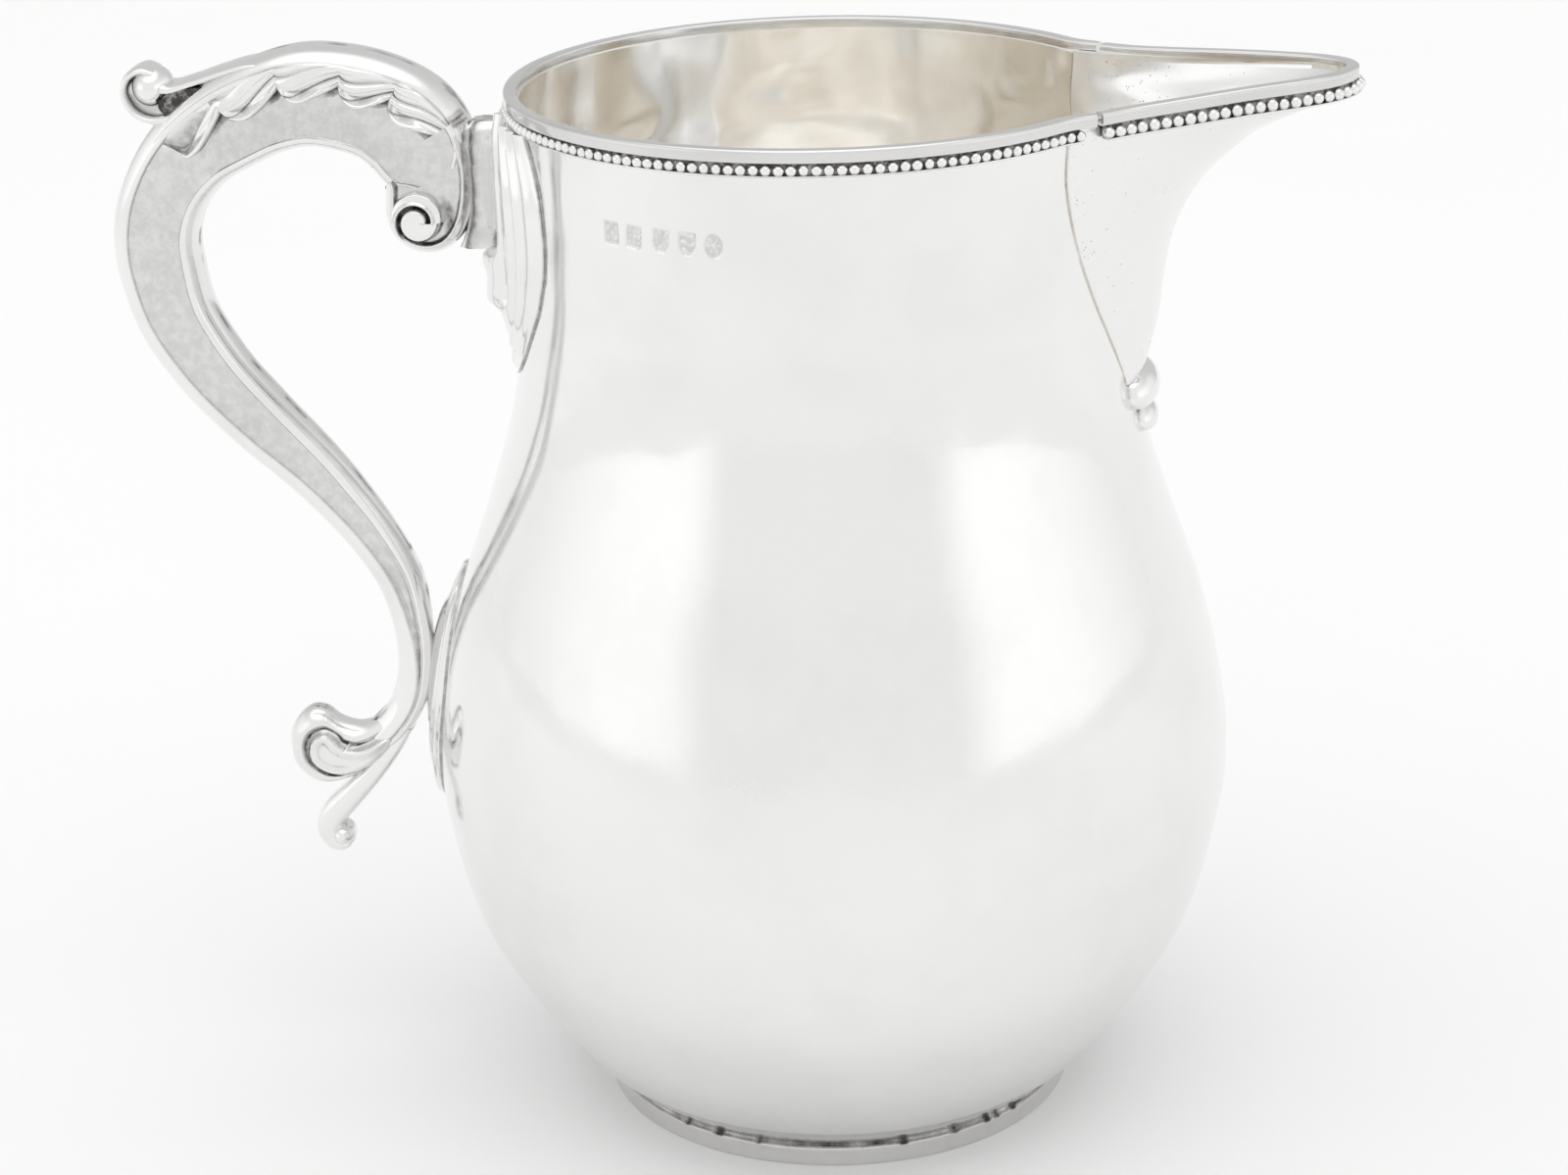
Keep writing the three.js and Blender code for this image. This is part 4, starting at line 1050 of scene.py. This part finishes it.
def vent():
    """The small vent hole on the near side of the hollow stem, with its burr, and its floor painted dark as
    the hole's shade.
    """
    angle = turns(28)
    rings = []
    for r, up, _ in VENT:
        x, z = -113.7 * SX + r * np.cos(angle), 183.3 * SZ + r * np.sin(angle)
        rings.append(np.stack([x, 0 * angle - (5.35 + up), z], -1))
    return loft(rings, np.array([tone for _, _, tone in VENT])[:, None])


# ---- assembly -----------------------------------------------------------------------------------
polished = silver("polished_silver", rough=0.10, inside=True)
bright = silver("rim_silver", rough=0.13, base=RIM_CLEAN, soft=RIM_SOFT)
beads = silver("bead_silver", rough=0.14)
cast = silver("cast_silver", rough=0.17, soft=CAST_SOFT, pits=1.0)
handle_silver = silver("handle_silver", rough=0.15, soft=HANDLE_SOFT)
leaf_silver = silver("leaf_silver", rough=0.15)
mount_silver = silver("mount_silver", rough=0.13)
foot_silver = silver("foot_silver", rough=0.14, base=FOOT_CLEAN, soft=FOOT_SOFT)

body_sheet, body_inside = body()
make("body", body_sheet, polished, ["body_shell"], creases=None, inside=body_inside)
make("foot_ring", foot(), foot_silver, ["foot_band"])
round_rim = moulding(rim_path(NOTCH, 0, RIM_Z, 420), BAND)
make("round_rim", round_rim, bright, ["rim_band"], creases=None)
rim_beads_z = RIM_Z - RIM_H - 0.25 - RIM_BEAD["r"]
rim_beads_out = RIM_BEAD["r"] + 0.2 + body_r(WALL_TOP) - RIM_R
round_beads = beaded_wire(rim_path(BEADS_START, rim_beads_out, rim_beads_z, 480), RIM_BEAD, 21, 1.2)
make("round_rim_beads", round_beads, beads, ["rim_bead_wire"], creases=None)
make("spout_sheet", spout(), cast, ["spout_shell"], creases=None)
spout_rim = through(SPOUT_RIM, 400)
make("spout_rim", moulding(spout_rim, BAND), bright, ["spout_rim_band"], creases=None)
spout_beads_up = -RIM_H - 0.2 - SPOUT_BEAD["r"]
spout_bead_path = spout_rim + outwards(spout_rim) * 0.05 + [0, 0, spout_beads_up]
spout_beads = beaded_wire(spout_bead_path, SPOUT_BEAD, 22, 2.0)
make("spout_rim_beads", spout_beads, beads, ["spout_bead_wire"], creases=None)
large_drop = boss(138.0, 10.8, 3.8, 4.7, 0.9, 0.7)
small_drop = boss(131.9, 6.7, 2.7, 3.1, 0.3, 0.6)
make("large_drop", large_drop, polished, ["spout_drop_large"], creases=None)
make("small_drop", small_drop, polished, ["spout_drop_small"], creases=None)

upper_mount = mount(UPPER_MOUNT, 240, 201, upper_flutes, rib=5.2)
lower_mount = mount(LOWER_MOUNT, 160, 121, lower_flutes, rib=3.4)
make("fluted_mount", upper_mount, mount_silver, ["upper_mount"], creases=(0.12, 1.0))
make("mount_neck", neck(), mount_silver, ["upper_neck"])
make("lower_plate", lower_mount, mount_silver, ["lower_mount"])
make("volute_scroll", volute(), handle_silver, ["volute"], gain=0.7)
for side, name in ((1, "left"), (-1, "right")):
    make(f"volute_eye_{name}", volute_eye(side), leaf_silver, [f"volute_pearl_{name}"])
    make(f"stem_{name}", stem_side(side), handle_silver, [f"stem_half_{name}"], gain=0.5)
    make(f"acanthus_{name}", leaf(side), leaf_silver, [f"leaf_{name}"],
         creases=(1.0, 3.6), gain=0.6)
make("leaf_curl", thumb(), leaf_silver, ["thumb_scroll"])
make("terminal", terminal(), handle_silver, ["terminal_scroll"],
     creases=(0.1, 1.0), gain=0.9)
make("tail_hook", tail(), handle_silver, ["tail_scroll"], gain=0.8)
make("vent_hole", vent(), handle_silver, [])


# ---- floor, light and camera --------------------------------------------------------------------
def floor_material():
    material = bpy.data.materials.new("pale_floor")
    material.use_nodes = True
    nodes = Nodes(material)
    shader = material.node_tree.nodes["Principled BSDF"]
    colour = nodes.mix(nodes.noise(6, 3), (0.95, 0.95, 0.95, 1), (0.93, 0.93, 0.928, 1))
    material.node_tree.links.new(colour, shader.inputs["Base Color"])
    shader.inputs["Roughness"].default_value = 0.7
    shader.inputs["Specular IOR Level"].default_value = 0.2
    return material


FLOOR_SIZE = 7
bpy.ops.mesh.primitive_plane_add(size=FLOOR_SIZE, location=(0, 0, 0))
floor = bpy.context.object
floor.name = "floor"
floor.data.materials.append(floor_material())

CAMERA_AT = Vector((56.9 + AXIS_X, -621.7, 328.3)) * MM
CAMERA_RIGHT = Vector((0.9952, 0.0955, -0.0247))
CAMERA_UP = Vector((-0.0101, 0.3480, 0.9375))
CAMERA_AHEAD = Vector((-0.0980, 0.9327, -0.3472))
FLAT_RIGHT = Vector((CAMERA_RIGHT.x, CAMERA_RIGHT.y, 0)).normalized()
FLAT_BACK = Vector((-CAMERA_AHEAD.x, -CAMERA_AHEAD.y, 0)).normalized()


def world():
    """A white studio: pale behind the camera, brighter at both sides and overhead, greyer in front."""
    studio = bpy.data.worlds.new("studio")
    bpy.context.scene.world = studio
    studio.use_nodes = True
    nodes = Nodes(studio)
    background = studio.node_tree.nodes["Background"]
    way = nodes.add("ShaderNodeTexCoord").outputs["Generated"]

    def dot(vector):
        return nodes.add("ShaderNodeVectorMath", {0: way, 1: vector}, operation="DOT_PRODUCT").outputs["Value"]

    base = nodes.fit(dot(FLAT_BACK), -0.95, 0.5, 0.66, 0.95)
    sides = nodes.fit(nodes.math("ABSOLUTE", dot(FLAT_RIGHT)), 0.55, 0.8, 0.0, 0.32)
    height = dot((0, 0, 1))
    sides = nodes.math("MULTIPLY", sides, nodes.fit(height, 0.3, 0.6, 0.7, 0.05))
    above = nodes.fit(height, 0.72, 0.97, 0.0, 0.62)
    total = nodes.math("ADD", nodes.math("ADD", base, sides), above)
    studio.node_tree.links.new(total, background.inputs["Strength"])
    background.inputs["Color"].default_value = (1, 1, 1, 1)


world()


def soft_box(name, side, radiance):
    """An upright area light beside the jug, whose foot also brightens the floor."""
    width, height, apart = 1.35, 0.95, 0.85
    data = bpy.data.lights.new(name, "AREA")
    data.shape = "RECTANGLE"
    data.size, data.size_y = width, height
    data.energy = radiance * math.pi * width * height
    light = bpy.data.objects.new(name, data)
    light.visible_glossy = False  # the silver shows the world's soft lobes in place of rectangles
    bpy.context.scene.collection.objects.link(light)
    light.location = FLAT_RIGHT * side * apart + Vector((0, 0, height / 2 + 0.01))
    light.rotation_euler = (Vector((0, 0, 0.2)) - light.location).to_track_quat("-Z", "Z").to_euler()


soft_box("soft_box_left", -1, 0.12)
soft_box("soft_box_right", 1, 0.07)

camera_data = bpy.data.cameras.new("camera")
camera = bpy.data.objects.new("camera", camera_data)
bpy.context.scene.collection.objects.link(camera)
columns = (CAMERA_RIGHT.normalized(), CAMERA_UP.normalized(), -CAMERA_AHEAD.normalized())
camera.matrix_world = Matrix.Translation(CAMERA_AT) @ Matrix(columns).transposed().to_4x4()
camera_data.lens = 82.27
camera_data.sensor_width = 36
camera_data.clip_start = 0.01
bpy.context.scene.camera = camera
bpy.context.scene.view_settings.view_transform = "Standard"
bpy.context.scene.cycles.max_bounces = 64  # the inside of the jug is mirror on mirror
bpy.context.scene.cycles.glossy_bounces = 64
